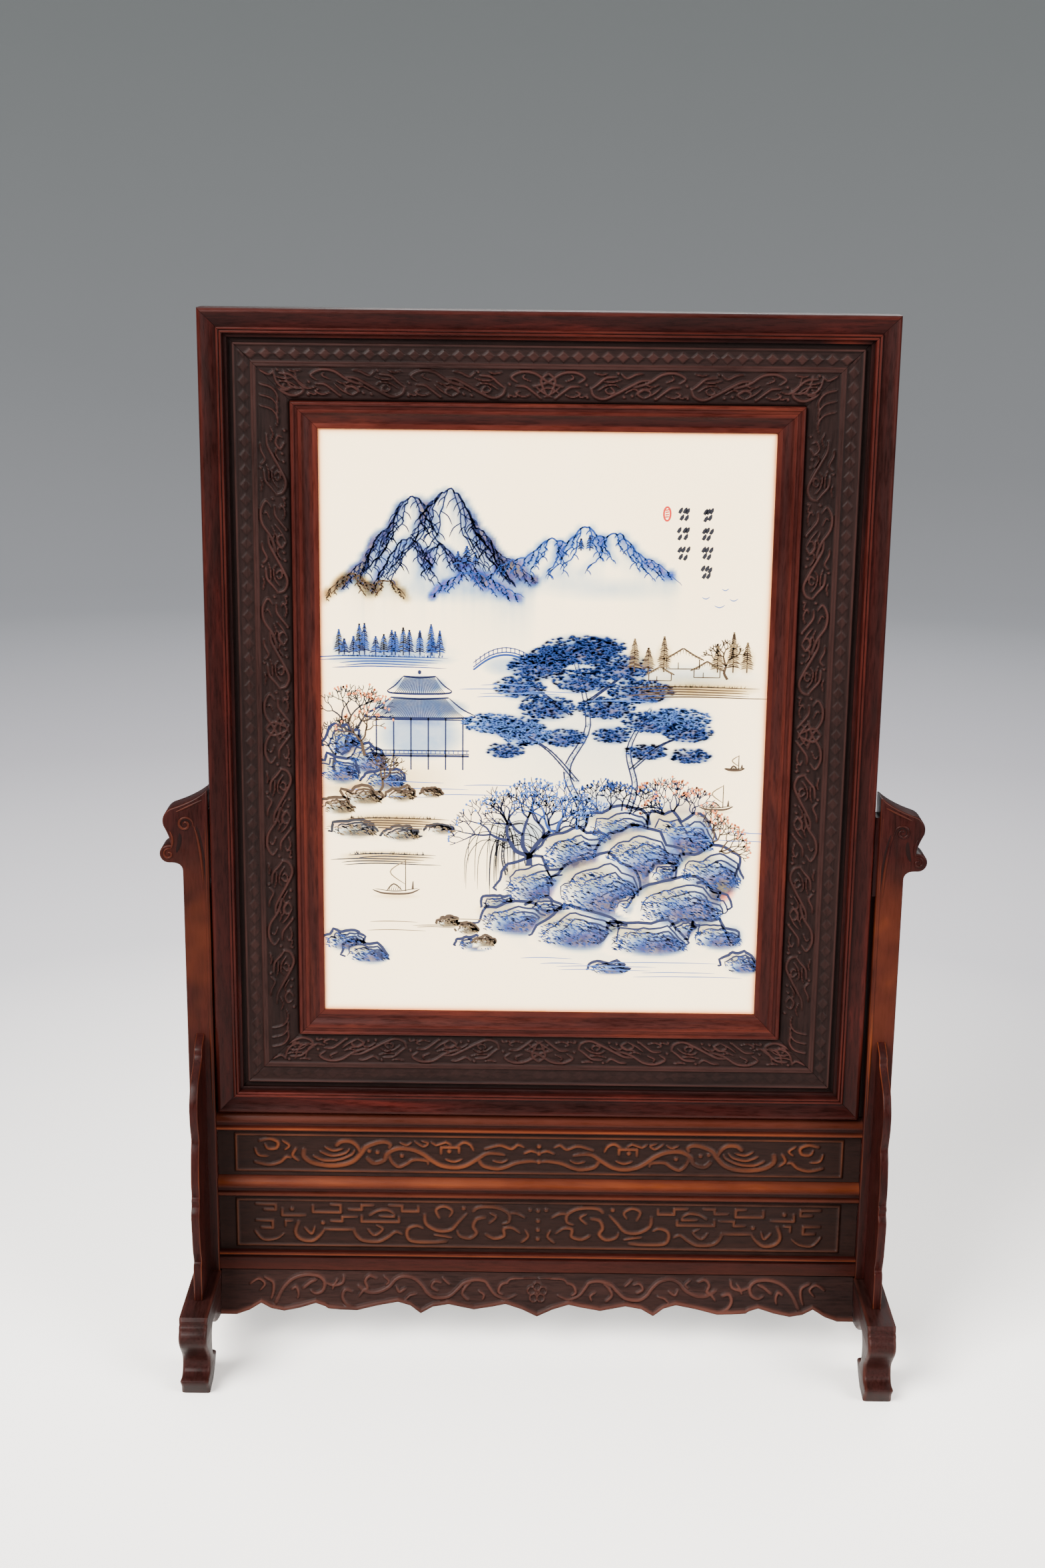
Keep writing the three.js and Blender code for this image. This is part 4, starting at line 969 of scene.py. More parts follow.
def make_posts(materials):
    top = FOOT_HEIGHT + FIT + POST_HEIGHT
    x, z = POST_MIDDLE + 5.7, top - 20.5
    curl_x, curl_z = curl = (POST_INNER + POST_WIDTH + 8.0, top - 38.8)
    spiral = curl_path(x, z, 4.9, 0.7, math.pi * 1.1, -math.pi * 3.0, 40)
    between = curl_path(x, z, 3.3, 1.6, math.pi * 1.1, -math.pi * 2.0, 24)
    lower_eye = curl_path(*curl, 3.5, 0.6, math.pi * 0.6, -math.pi * 2.4, 30)
    hook = quadratic((POST_INNER + 3.5, top - 60), (POST_INNER + 4.0, top - 34), (x - 5.2, z - 1.0))
    throat = quadratic((curl_x - 1.2, curl_z + 3.4), (curl_x - 4, curl_z + 8), (curl_x - 1, curl_z + 14))
    gorge = quadratic((x + 3.2, z - 5.6), (x + 2.6, curl_z + 8), (curl_x - 4.6, curl_z + 1))
    rim = quadratic((POST_INNER + 3, top - 5.5), (POST_INNER + 11, top - 9.5), (POST_INNER + 18.5, top - 13))
    inner = np.array([(POST_INNER + 1.6, level) for level in (SCREEN_BOTTOM, 230.0, top - 12)])
    # The grooves are thin strips that carry only painted shade, where the carving is cut in
    grooves = ((gorge, 2.6), (between, 1.1), (hook - (1.6, 0), 1.3))
    ridges = ((spiral, 1.8, 0.9), (hook, 1.5, 0.8), (rim, 1.3, 0.6), (inner, 1.6, 0.6),
              (lower_eye, 1.5, 0.8), (throat, 1.4, 0.7))
    for hand, side in ((-1, "left"), (1, "right")):
        parts = Parts()
        verts, faces, wear = plate(post_outline(), -POST_DEPTH / 2, POST_DEPTH / 2, POST_ARRIS, front_space)
        level = verts[:, 2]
        rubbed = swell_at(level, RUBBED_SHARE, RUBBED_MIDDLE, RUBBED_REACH, 4) * (verts[:, 1] < 0)
        parts.add(*mirrored(verts, faces, hand), np.maximum(wear * 0.6, rubbed))
        for end in (-1, 1):
            for path, width, rise in ridges:
                verts, faces = ridge_solid(spline(path, 2), width, rise, on_post(end))
                parts.add(*mirrored(verts, [face[::-end] for face in faces], hand), RIDGE_WEAR)
        # Strips coloured with painted shade along the carved grooves
        for path, width in grooves:
            verts, faces = ridge_solid(spline(path, 2), width, GROOVE_SHADE_RISE, on_post(-1))
            parts.add(*mirrored(verts, faces, hand), 0.0, 1.0)
        proud = POST_INNER - SCREEN_WIDTH / 2 - hand * SCREEN_SHIFT - STRIP_GAP
        for reach, half, low, high, bevel in (
                (proud, STRIP_HALF, TONGUE_TOP, top - 12, 0.2),
                (TONGUE_REACH, TONGUE_HALF, SCREEN_BOTTOM, TONGUE_TOP, 0.3)):
            bar = box_verts(POST_INNER - reach, POST_INNER + 1, -half, half, low, high, bevel)
            parts.add(*mirrored(*bar, hand))
        wood = materials["post"]
        parts.piece(f"scrolled_post_{side}", wood, "stand_wood", [f"post_{side}"], STAND_SHARP)


RAIL_STEPS = 40
# Each rail's front from bottom to top: (share of its height, share of the groove's depth)
RAIL_FACES = {
    "lower": [(0.0, 0.8), (0.05, 0.0), (0.7, 0.0), (0.74, 1.0), (0.8, 1.0), (0.84, 0.1), (0.9, -0.05),
              (0.96, 0.1), (1.0, 0.6)],
    "beaded": [(0.0, 0.6), (0.05, 0.1), (0.13, -0.05), (0.21, 0.1), (0.26, 1.0), (0.4, 1.0), (0.44, 0.3),
               (0.55, 0.15), (0.7, 0.6), (0.85, 1.5), (1.0, 3.0)],
}


def make_rail(name, span, face, groove, wear_at, materials):
    """A cross rail. Painted shade lies at the groove, a share of its height; wear_at has (place, spread,
    amount).
    """
    bottom, top = span
    height = top - bottom
    front = [(-RAIL_DEPTH / 2 + inset * RAIL_GROOVE, bottom + share * height) for share, inset in face]
    wall = RAIL_DEPTH / 2
    back = [(wall - 0.6, top), (wall, top - 0.6), (wall, bottom + 0.6), (wall - 0.6, bottom)]
    section = np.array(front + back)
    reach = POST_INNER - MITRE_GAP

    places = np.linspace(-reach, reach, RAIL_STEPS + 1)
    verts, faces = tube([np.column_stack([np.full(len(section), x), section]) for x in places])
    share = (verts[:, 2] - bottom) / height
    is_front = verts[:, 1] < -2
    wear = np.zeros(len(verts))
    for place, spread, amount in wear_at:
        wear = np.maximum(wear, swell_at(share, amount, place, spread))
    # Painted shade along the groove
    recess_shade = swell_at(share, 0.9, groove, 0.05)
    parts = Parts()
    parts.add(verts, [corners[::-1] for corners in faces], wear * is_front, recess_shade * is_front)
    parts.piece(f"cross_rail_{name}", materials["rail"], "stand_wood", [f"rail_{name}"], BAR_SHARP)


def make_rails(materials):
    beaded = RAIL_FACES["beaded"]
    make_rail("lower", RAIL_LOWER, RAIL_FACES["lower"], 0.77, ((0.9, 0.06, 0.9), (0.3, 0.3, 0.35)), materials)
    make_rail("middle", RAIL_MIDDLE, beaded, 0.33, ((0.75, 0.25, 1.0), (0.13, 0.08, 0.7)), materials)
    make_rail("upper", RAIL_UPPER, beaded, 0.33, ((0.7, 0.25, 0.5), (0.13, 0.08, 1.1)), materials)


# The left half of each panel's carving: (width, points), x in millimetres from the middle, and v from -1 to 1
UPPER_PANEL_CURVES = (
    (3.2, ((-144, 0.2), (-144, -0.3), (-139, -0.75), (-130, -0.95), (-121, -0.9), (-114, -0.6), (-109, 0.0),
           (-106, 0.5), (-99, 0.85), (-94, 0.9), (-91, 0.7), (-92, 0.45))),
    (2.8, ((-124, 0.6), (-121, 0.9), (-115, 0.9), (-111, 0.5), (-109, -0.1))),
    (1.9, ((-138, -0.25), (-132, -0.55), (-123, -0.5), (-115, -0.1), (-113, 0.25))),
    (1.7, ((-134, 0.1), (-127, -0.2), (-119, 0.0), (-116, 0.35))),
    (1.6, ((-131, 0.45), (-126, 0.2), (-120, 0.35))),
    (2.2, ((-174, -0.75), (-166, -0.95), (-159, -0.75), (-155, -0.35), (-152, -0.4))),
    (2.2, ((-171, 0.9), (-165, 1.05), (-160, 0.8), (-161, 0.35), (-166, 0.3), (-168, 0.65))),
    (1.6, ((-174, 0.3), (-172, -0.2), (-166, -0.3))),
    (2.0, ((-149, 0.3), (-151, -0.2), (-147, -0.65))),
    (1.6, ((-157, 0.9), (-153, 0.55), (-156, 0.2))),
    (3.0, ((-105, -0.4), (-101, -0.75), (-95, -0.5), (-93, 0.0), (-87, 0.4), (-78, 0.35), (-71, 0.0),
           (-66, -0.45), (-60, -0.85), (-52, -1.0), (-45, -0.85), (-38, -0.35),
           (-32, 0.1), (-25, 0.1), (-21, 0.0))),
    (2.4, ((-92, -0.1), (-90, -0.65), (-86, -1.0), (-81, -0.75), (-77, -0.45), (-69, -0.5), (-68, -0.8))),
    (2.6, ((-37, -0.35), (-34, -0.85), (-26, -1.05), (-20, -0.9), (-14, -0.6), (-6, -0.45), (-1, -0.5))),
    (2.0, ((-50, 0.65), (-46, 0.95), (-42, 0.75), (-40, 0.3))),
    (2.0, ((-33, 0.45), (-24, 0.75), (-17, 0.5), (-13, 0.8), (-9, 0.6))),
    (1.6, ((-76, 0.95), (-71, 0.6), (-68, 0.85), (-72, 1.0))),
    (1.5, ((-85, 0.85), (-81, 0.7), (-78, 0.9))),
    (1.5, ((-57, -0.4), (-52, -0.55), (-47, -0.35))),
    (1.5, ((-28, -0.45), (-23, -0.55), (-19, -0.35))),
    (1.8, ((-9, 0.15), (-5, 0.35), (-1, 0.2))),
)
UPPER_PANEL_BARS = (
    (1.9, ((-60, 0.05), (-60, 0.55), (-49, 0.55), (-49, 0.15))),
    (1.6, ((-66, 0.9), (-63, 0.7), (-57, 0.95), (-54, 0.75))),
)
UPPER_PANEL_BEADS = ((0, 0.15), (0, -0.5), (0, 0.7), (-104, 0.2), (-99, 0.1), (-84, -0.15), (-55, 0.25))

LOWER_PANEL_CURVES = (
    (2.4, ((-148, 0.05), (-150, -0.5), (-147, -0.9), (-140, -1.0), (-135, -0.7), (-132, -0.35))),
    (2.4, ((-114, -0.35), (-112, -0.7), (-108, -0.95), (-99, -1.0), (-93, -0.75), (-88, -0.45), (-84, -0.6))),
    (2.0, ((-104, 0.45), (-99, 0.7), (-93, 0.75), (-89, 0.55))),
    (2.4, ((-57, -0.95), (-66, -1.0), (-78, -0.95), (-81, -0.6), (-80, -0.25), (-75, -0.1), (-71, -0.25))),
    (2.4, ((-70, 0.5), (-69, 0.0), (-62, -0.35), (-54, -0.3), (-49, 0.15), (-44, 0.6))),
    (2.0, ((-61, 0.35), (-63, 0.8), (-58, 1.0), (-53, 0.75), (-55, 0.4))),
    (2.4, ((-40, 0.75), (-37, 0.95), (-30, 1.0), (-23, 0.9), (-18, 0.6), (-18, 0.2), (-22, 0.05))),
    (2.4, ((-33, 0.4), (-38, 0.3), (-40, -0.1), (-38, -0.45), (-42, -0.75), (-48, -0.65), (-50, -0.35))),
    (2.2, ((-32, -0.55), (-27, -0.75), (-21, -0.6), (-21, -0.2), (-16, -0.15), (-11, -0.45))),
    (2.0, ((-18, 0.65), (-13, 0.65), (-8, 0.4))),
    (1.8, ((-30, 0.1), (-26, 0.45), (-30, 0.65))),
    (1.8, ((-144, -0.3), (-140, -0.6), (-138, -0.2))),
    (1.8, ((-105, -0.35), (-101, -0.65), (-96, -0.3), (-100, -0.1))),
    (1.8, ((-10, -0.95), (-6, -0.6), (-8, -0.25))),
    (1.6, ((-64, -0.6), (-58, -0.65), (-53, -0.75))),
    (1.6, ((-175, -0.5), (-170, -0.95), (-162, -0.9), (-157, -0.6))),
)
LOWER_PANEL_BARS = (
    (2.0, ((-132, -0.35), (-114, -0.35))),
    (2.0, ((-158, 0.75), (-158, 0.4), (-144, 0.4))),
    (2.0, ((-139, 0.95), (-139, 0.6), (-122, 0.6), (-122, 1.0), (-128, 1.0))),
    (1.8, ((-128, 0.1), (-121, 0.1), (-121, 0.35), (-112, 0.35))),
    (2.0, ((-117, 0.75), (-109, 0.75), (-109, 1.0), (-102, 1.0))),
    (2.0, ((-109, 0.4), (-109, 0.1), (-86, 0.1), (-86, 0.35))),
    (1.8, ((-89, 0.5), (-89, 0.4), (-98, 0.4))),
    (2.0, ((-92, 1.0), (-84, 1.0), (-84, 0.7), (-74, 0.7), (-74, 0.95))),
    (2.0, ((-174, 1.0), (-162, 1.0), (-162, 0.7), (-169, 0.7))),
    (2.0, ((-174, 0.1), (-164, 0.1), (-164, -0.3), (-171, -0.3))),
    (1.8, ((-156, -0.2), (-156, 0.1), (-152, 0.1))),
)
LOWER_PANEL_BEADS = (
    (0, 0.8), (0, 0.25), (0, -0.25), (0, -0.75), (-152, 0.75), (-5, 0.85), (-133, 0.0), (-46, 0.9),
)
BEAD_RADIUS = 1.7
UPPER_SWING = 8.6
LOWER_SWING = 12.2


def panel_strokes(curves, straight, beads, swing, middle):
    strokes = carved_lines(curves, swing, middle) + carved_lines(straight, swing, middle, (1, -1), 0)
    return strokes + [bead(hand * u, middle + v * swing, BEAD_RADIUS) for u, v in beads for hand in (1, -1)]


def make_panel(name, bottom, top, swing, lines, materials):
    face = -RAIL_DEPTH / 2 + PANEL_RECESS
    reach = POST_INNER - FIT
    middle = (top + bottom) / 2
    strokes = panel_strokes(*lines, swing, middle)
    across = np.linspace(-reach, reach, int(2 * reach / CARVED_CELL))
    up = np.linspace(bottom + 0.05, top - 0.05, int((top - bottom) / CARVED_CELL))
    x, z = np.meshgrid(across, up, indexing="ij")
    carved = relief(x, z, strokes)
    edge_x = POST_INNER - PANEL_END_MARGIN - np.abs(x)
    edge_z = (top - bottom) / 2 - PANEL_BEAD_MARGIN - np.abs(z - middle)
    inset = np.minimum(edge_x, edge_z) - PANEL_BEAD / 2
    rim = PANEL_BEAD_PROUD * np.clip(1 - (inset / (PANEL_BEAD / 2)) ** 2, 0, 1) ** 0.5
    height = np.maximum(carved, rim)
    front = np.stack([x, face - height, z], axis=-1)
    verts, faces = carved_slab(front, -face)
    extra = len(verts) - x.size
    high = np.clip(height / CARVING_RISE, 0, 1)
    # Painted shade on the carving's ground, fading where the carving rises
    recess_shade = 0.5 * np.clip(1 - high * SHADE_FADE, 0, 1)
    parts = Parts()
    parts.add(verts, faces, extended(high ** HIGH_POWER, extra), extended(recess_shade, extra))
    wood = materials[f"{name}_panel"]
    parts.piece(f"carved_panel_{name}", wood, "carved_wood", [f"panel_{name}"], CARVED_SHARP)


FOOT_FRONT_SHARES = [
    (-0.912, 1), (-0.952, 0.91), (-1, 0.78), (-0.978, 0.67), (-0.9, 0.54), (-0.835, 0.43),
    (-0.82, 0.34), (-0.85, 0.25), (-0.935, 0.215), (-0.945, 0.17), (-0.88, 0),
]
FOOT_BACK_SHARES = [
    (-0.68, 0), (-0.6, 0.06), (-0.49, 0.19), (-0.5, 0.265), (-0.6, 0.3), (-0.67, 0.42), (-0.675, 0.62),
    (-0.62, 0.7), (-0.52, 0.66), (-0.38, 0.53), (-0.25, 0.47), (-0.12, 0.44), (0, 0.46),
]
FOOT_GROOVES = (47.6, 44.6)
FOOT_GROOVE_DEPTH = 0.9
FOOT_ARRIS = 2.2
FOOT_WEAR = 0.4
FOOT_LEAST_WEAR = 0.05


def foot_outline():
    half = FOOT_DEPTH / 2
    toe = spline([(y * half, z * FOOT_HEIGHT) for y, z in FOOT_FRONT_SHARES], 8)
    for level in FOOT_GROOVES:
        toe[:, 0] += FOOT_GROOVE_DEPTH * np.exp(-((toe[:, 1] - level) / 0.7) ** 2)
    toe[:, 0] = np.maximum(toe[:, 0], -half)
    heel = spline([(y * half, z * FOOT_HEIGHT) for y, z in FOOT_BACK_SHARES], 3)
    front = np.concatenate([toe, heel])
    back = front[:-1][::-1] * np.array([-1, 1])
    return without_repeats(np.concatenate([front, back]))


def make_feet(materials):
    for hand, side in ((-1, "left"), (1, "right")):
        x0 = hand * POST_MIDDLE - FOOT_WIDTH / 2
        parts = Parts()
        verts, faces, wear = plate(foot_outline()[::-1], x0, x0 + FOOT_WIDTH, FOOT_ARRIS, side_space, 4)
        parts.add(verts, faces, wear * FOOT_WEAR + FOOT_LEAST_WEAR)
        parts.piece(f"shaped_foot_{side}", materials["foot"], "stand_wood", [f"foot_{side}"], STAND_SHARP)


SPANDREL_ARRIS = 0.7
SPANDREL_EDGE_SHARES = [
    (0, 1), (0.26, 0.968), (0.31, 0.935), (0.52, 0.9), (0.71, 0.872), (0.82, 0.832), (0.88, 0.795),
    (0.885, 0.755), (0.86, 0.71), (0.8, 0.665), (0.78, 0.64), (0.85, 0.6), (0.905, 0.53), (0.92, 0.475),
    (0.89, 0.43), (0.94, 0.416), (0.92, 0.395), (0.985, 0.37), (1, 0.34), (0.97, 0.27), (0.93, 0.2),
    (0.86, 0.154), (0.92, 0.13), (0.93, 0),
]


def make_spandrels(materials):
    for hand, side in ((-1, "left"), (1, "right")):
        for end, place in ((-1, "front"), (1, "back")):
            wall = end * (POST_DEPTH / 2 + FIT)
            base = FOOT_HEIGHT + FIT
            edge = spline([(wall + end * reach * SPANDREL_REACH, base + up * SPANDREL_HEIGHT)
                           for reach, up in SPANDREL_EDGE_SHARES], 3)
            outline = without_repeats(np.concatenate([[(wall, base), (wall, base + 80)], edge]))
            if end > 0:
                outline = outline[::-1]
            x0 = hand * POST_MIDDLE - SPANDREL_THICK / 2
            parts = Parts()
            verts, faces, wear = plate(outline, x0, x0 + SPANDREL_THICK, SPANDREL_ARRIS, side_space)
            parts.add(verts, faces, wear)
            node = f"spandrel_{place}_{side}"
            parts.piece(f"{node}_board", materials["post"], "stand_wood", [node], STAND_SHARP)


APRON_EDGE_SHARES = [
    (-1, 1), (-0.95, 1), (-0.91, 0.9), (-0.873, 0.74), (-0.84, 0.86), (-0.8, 0.91), (-0.75, 0.84),
    (-0.7, 0.73), (-0.67, 0.8), (-0.66, 0.85), (-0.62, 0.87), (-0.57, 0.88), (-0.5, 0.76), (-0.44, 0.68),
    (-0.4, 0.76), (-0.368, 0.93), (-0.33, 0.78), (-0.28, 0.72), (-0.2, 0.83), (-0.14, 0.76), (-0.1, 0.7),
    (-0.05, 0.81), (0, 0.97),
]
# The left half of the apron's carving: (width, points), x from the middle and the depth below the top edge
APRON_CURVES = (
    (2.4, ((-162, 19), (-158, 11), (-152, 5), (-144, 2.4), (-136, 3), (-132, 6.5),
           (-133, 11.5), (-137, 13.4), (-140.5, 11.8))),
    (2.2, ((-145, 10.2), (-140.5, 6.6), (-137, 5.4))),
    (1.8, ((-152, 11), (-149.5, 9.6), (-148, 13), (-148.5, 16.5))),
    (1.9, ((-120, 3), (-121, 7), (-126.5, 8.5), (-132, 6.6))),
    (1.5, ((-124, 5.2), (-126, 8), (-127, 11))),
    (2.2, ((-115, 12), (-119, 11), (-120.6, 15), (-118, 19.6), (-113, 21.5))),
    (1.9, ((-169, 4.3), (-164, 7), (-163.6, 12.2), (-165, 17))),
    (1.6, ((-178, 8), (-173, 5), (-169, 8), (-172, 12))),
    (2.0, ((-100, 4), (-104, 2.6), (-106.7, 5.6), (-105.3, 9.6), (-108, 11.5), (-110.6, 15))),
    (2.3, ((-110.6, 9), (-105, 12.2), (-98.7, 12.2), (-92, 9), (-88, 4.6), (-82.8, 2.6), (-76, 4),
           (-71, 8.3), (-68, 12.2), (-63, 15), (-55, 14.2), (-49.7, 10.2), (-45.7, 6.3), (-39, 4.3),
           (-32.5, 5), (-29.8, 8.3), (-25.8, 13), (-19.2, 15.2), (-13, 13))),
    (1.8, ((-82, 10), (-85.5, 11.8), (-87.5, 8.6))),
    (1.9, ((-43, 16), (-46.4, 12.4), (-44.4, 8.3), (-41, 5.6))),
    (1.8, ((-62, 11), (-65.5, 8.6), (-63.5, 5.4), (-59.5, 6.4))),
    (1.6, ((-58.5, 3.6), (-54, 7.5))),
    (1.8, ((-18.6, 5.5), (-22.5, 7), (-23.9, 11), (-21.2, 13))),
    (1.3, ((-19, 6.4), (-16.6, 3.6), (-10, 3), (0, 3))),
    (1.5, ((-95, 3), (-92, 5.6), (-94, 8))),
    (1.5, ((-75, 13), (-79, 14), (-82, 17))),
    (1.5, ((-36, 11), (-33, 13), (-34, 16))),
)
FLOWER_DEPTH = 11.4


def apron_edge(x):
    shares = np.array(APRON_EDGE_SHARES)
    drop = np.interp(-np.abs(x) / APRON_HALF, shares[:, 0], shares[:, 1])
    return APRON_TOP - drop * APRON_DEPTH


def apron_strokes():
    lines = [(width, [(x, -depth) for x, depth in points]) for width, points in APRON_CURVES]
    strokes = carved_lines(lines, 1.0, APRON_TOP)
    middle = APRON_TOP - FLOWER_DEPTH
    for i in range(FLOWER_PETALS):
        angle = math.pi / 2 + i * 2 * math.pi / FLOWER_PETALS
        out, radius = FLOWER_RADIUS * PETAL_PLACE, FLOWER_RADIUS * PETAL_SIZE
        u, v = out * math.cos(angle), middle + out * math.sin(angle)
        petal = curl_path(u, v, radius, radius, 0, 2 * math.pi, 14)
        strokes.append(stroke(petal, 1.3, CARVING_RISE, 1.0, 1.0))
    strokes.append(bead(0, middle, 1.2))
    return strokes


def apron_grid(rows):
    """Points over the apron's face from its shaped lower edge to its top, and their height over that edge."""
    x = np.linspace(-APRON_HALF, APRON_HALF, int(2 * APRON_HALF / CARVED_CELL))[:, None] * np.ones((1, rows))
    edge = apron_edge(x)
    z = edge + np.linspace(0, 1, rows)[None, :] * (APRON_TOP - edge)
    return x, z, z - edge


def make_aprons(materials):
    for end, place, rows in ((-1, "front", int(APRON_DEPTH * 0.8 / CARVED_CELL)), (1, "back", 4)):
        x, z, from_edge = apron_grid(rows)
        height = np.zeros_like(x)
        if end < 0:
            rib = np.clip(1 - ((from_edge - APRON_RIB / 2) / (APRON_RIB / 2)) ** 2, 0, 1) ** 0.4
            height = np.maximum(relief(x, z, apron_strokes()), CARVING_RISE * rib)
        y = end * (APRON_FRONT + (APRON_TOP - z) * APRON_SLANT + height)
        verts, faces = carved_slab(np.stack([x, y, z], axis=-1), 0.0, flip=end > 0)
        back = verts[x.size:]
        back[:, 1] = end * (APRON_FRONT - APRON_THICK + (APRON_TOP - back[:, 2]) * APRON_SLANT)
        high = np.clip(height / CARVING_RISE, 0, 1)
        # Painted shade on the carving's ground, fading where the carving rises
        recess_shade = 0.4 * np.clip(1 - high * SHADE_FADE, 0, 1) * (end < 0)
        parts = Parts()
        parts.add(verts, faces, extended(high ** HIGH_POWER, len(back)), extended(recess_shade, len(back)))
        wood = materials["apron"]
        parts.piece(f"shaped_apron_{place}", wood, "carved_wood", [f"apron_{place}"], CARVED_SHARP)


# The painted scene. Points are (u, v) in millimetres from the plaque's middle, u to the right and v up

PAINTS = {
    "ink": (0.008, 0.008, 0.012),
    "navy": (0.001, 0.0045, 0.032),
    "blue": (0.0045, 0.026, 0.135),
    "sky": (0.042, 0.105, 0.31),
    "brown": (0.035, 0.018, 0.006),
    "olive": (0.13, 0.085, 0.035),
    "rust": (0.5, 0.14, 0.045),
    "red": (0.4, 0.012, 0.008),
}
# What is left of the glaze's light under a full wash of each paint
STAINS = {
    "ink": (0.03, 0.03, 0.045),
    "navy": (0.009, 0.024, 0.13),
    "blue": (0.03, 0.085, 0.36),
    "sky": (0.11, 0.23, 0.66),
    "brown": (0.1, 0.065, 0.03),
    "olive": (0.34, 0.26, 0.12),
    "rust": (0.66, 0.27, 0.12),
    "red": (0.55, 0.06, 0.05),
    # No paint: the painted warm shade along the glaze's edges, under the moulding's lip
    "warm_edge_shade": (0.7, 0.26, 0.12),
}
DEEPEST_STAIN = 4.2
STROKE_GAIN = 1.55
END_FADE = 9.0


class Painting:
    """Brush strokes as thin flat ribbons, one mesh for each colour, and soft washes on the glaze."""

    def __init__(self, u, v, seed):
        self.chance = np.random.default_rng(seed)
        self.verts = {paint: [] for paint in PAINTS}
        self.faces = {paint: [] for paint in PAINTS}
        self.u = u
        self.v = v
        self.stain = np.zeros(u.shape + (3,))
        self.hidden = []

    def line(self, paint, points, width, start=0.3, end=0.3):
        points = np.asarray(points, float)
        along = np.gradient(points, axis=0)
        along /= np.maximum(np.hypot(along[:, 0], along[:, 1]), 1e-6)[:, None]
        across = np.column_stack([-along[:, 1], along[:, 0]])
        share = np.linspace(0, 1, len(points))
        tips = np.where(share < 0.5, start, end)
        width = width * STROKE_GAIN
        half = (width / 2 * (tips + (1 - tips) * np.sin(math.pi * share) ** 0.6))[:, None]
        if len(points) == 2:
            half = width / 2 * np.array([[1.0], [end]])
        first = len(self.verts[paint])
        both = np.stack([points + across * half, points - across * half], axis=1).reshape(-1, 2)
        self.verts[paint].extend(both.tolist())
        for i in range(first, first + 2 * len(points) - 2, 2):
            self.faces[paint].append((i, i + 1, i + 3, i + 2))

    def curve(self, paint, points, width, start=0.3, end=0.3, steps=5, wobble=0.0):
        path = spline(points, steps)
        if wobble:
            path = path + self.chance.normal(0, wobble, path.shape)
        self.line(paint, path, width, start, end)

    def sketch(self, paint, frame, points, width, start=0.3, end=0.3, steps=1):
        """A line through points given in shares of a size: frame is the place (u, v) and that size."""
        u, v, size = frame
        self.curve(paint, [(u + size * x, v + size * y) for x, y in points], width, start, end, steps)

    def dot(self, paint, u, v, radius):
        self.sketch(paint, (u, v, radius), ((-1, 0), (0, 0), (1, 0)), radius * 1.8, 0.5, 0.5)

    def wash(self, paint, amount, mask):
        """Lays a soft colour where the mask, a value from 0 to 1 at every point of the glaze, is high."""
        layer = np.clip(amount * mask, 0, 1)[..., None]
        self.stain = np.minimum(self.stain - layer * np.log(STAINS[paint]), DEEPEST_STAIN)

    def pool(self, paint, amount, u, v, reach_u, reach_v, edge=0.55):
        """A wash in an oval."""
        gap = np.hypot((self.u - u) / reach_u, (self.v - v) / reach_v)
        self.wash(paint, amount, np.clip((1 - gap) / edge, 0, 1))

    def below(self, paint, amount, ridge, fall, rise=1.5):
        """A wash that is strongest just under a ridge, darker on falling slopes, and fades downward."""
        crest = np.interp(self.u, ridge[:, 0], ridge[:, 1])
        slope = np.interp(self.u, ridge[:, 0], np.gradient(ridge[:, 1], ridge[:, 0]))
        ends = np.clip(np.minimum(self.u - ridge[0, 0], ridge[-1, 0] - self.u) / END_FADE, 0, 1)
        depth = crest - self.v
        shade = np.clip(0.55 - slope * 0.5, 0.1, 1)
        fading = np.clip(depth / rise, 0, 1) * np.exp(-np.maximum(depth, 0) / fall)
        self.wash(paint, amount, ends * shade * fading)

    def clear(self, u, v, reach_u, reach_v, floor=0.35):
        """Bares the glaze in an oval, so that what is painted next stands in front of the earlier strokes."""
        counts = {paint: len(faces) for paint, faces in self.faces.items()}
        self.hidden.append((u, v, reach_u, reach_v, floor, counts))
        gap = np.hypot((self.u - u) / reach_u, (self.v - v) / np.where(self.v > v, reach_v, reach_v * floor))
        self.stain *= 1 - np.clip((1 - gap) / 0.12, 0, 1)[..., None]

    def shown(self, paint):
        """The points and faces of one paint that nothing later covers."""
        verts = np.array(self.verts[paint])
        faces = np.array(self.faces[paint])
        middle = verts[faces].mean(axis=1)
        kept = np.ones(len(faces), bool)
        for u, v, reach_u, reach_v, floor, counts in self.hidden:
            reach = np.where(middle[:, 1] > v, reach_v, reach_v * floor)
            inside = np.hypot((middle[:, 0] - u) / reach_u, (middle[:, 1] - v) / reach) < 1
            inside[counts[paint]:] = False
            kept &= ~inside
        used, index = np.unique(faces[kept], return_inverse=True)
        return verts[used], index.reshape(-1, 4).tolist()


def paint_spur(art, u, v, lean, drop, line, tint):
    """A fold that runs down from a ridge: a winding line, shade along one side and short branches."""
    bends = ((0, 0), (0.16, 0.28), (0.2, 0.5), (0.48, 0.78), (0.62, 1))
    path = spline([(u + lean * drop * across, v - drop * down) for across, down in bends], 5)
    path[1:] += art.chance.normal(0, 0.3, path[1:].shape)
    for i, (x, z) in enumerate(path[::2]):
        fade = 1 - i * 2 / len(path)
        art.pool(tint, 0.42 * fade + 0.08, x + lean * 2.2, z - 0.6, 3.6, 3.4, 0.9)
    art.line(line, path, 0.55, 0.9, 0.1)
    for i in range(2, len(path) - 3, 3):
        side = 1 if i % 2 else -1
        length = drop * art.chance.uniform(0.1, 0.2)
        twig = ((0, 0), (side * 0.5, -0.35), (side * 0.8, -1))
        art.sketch(line, (*path[i], length), twig, 0.45, 0.8, 0.1, 4)


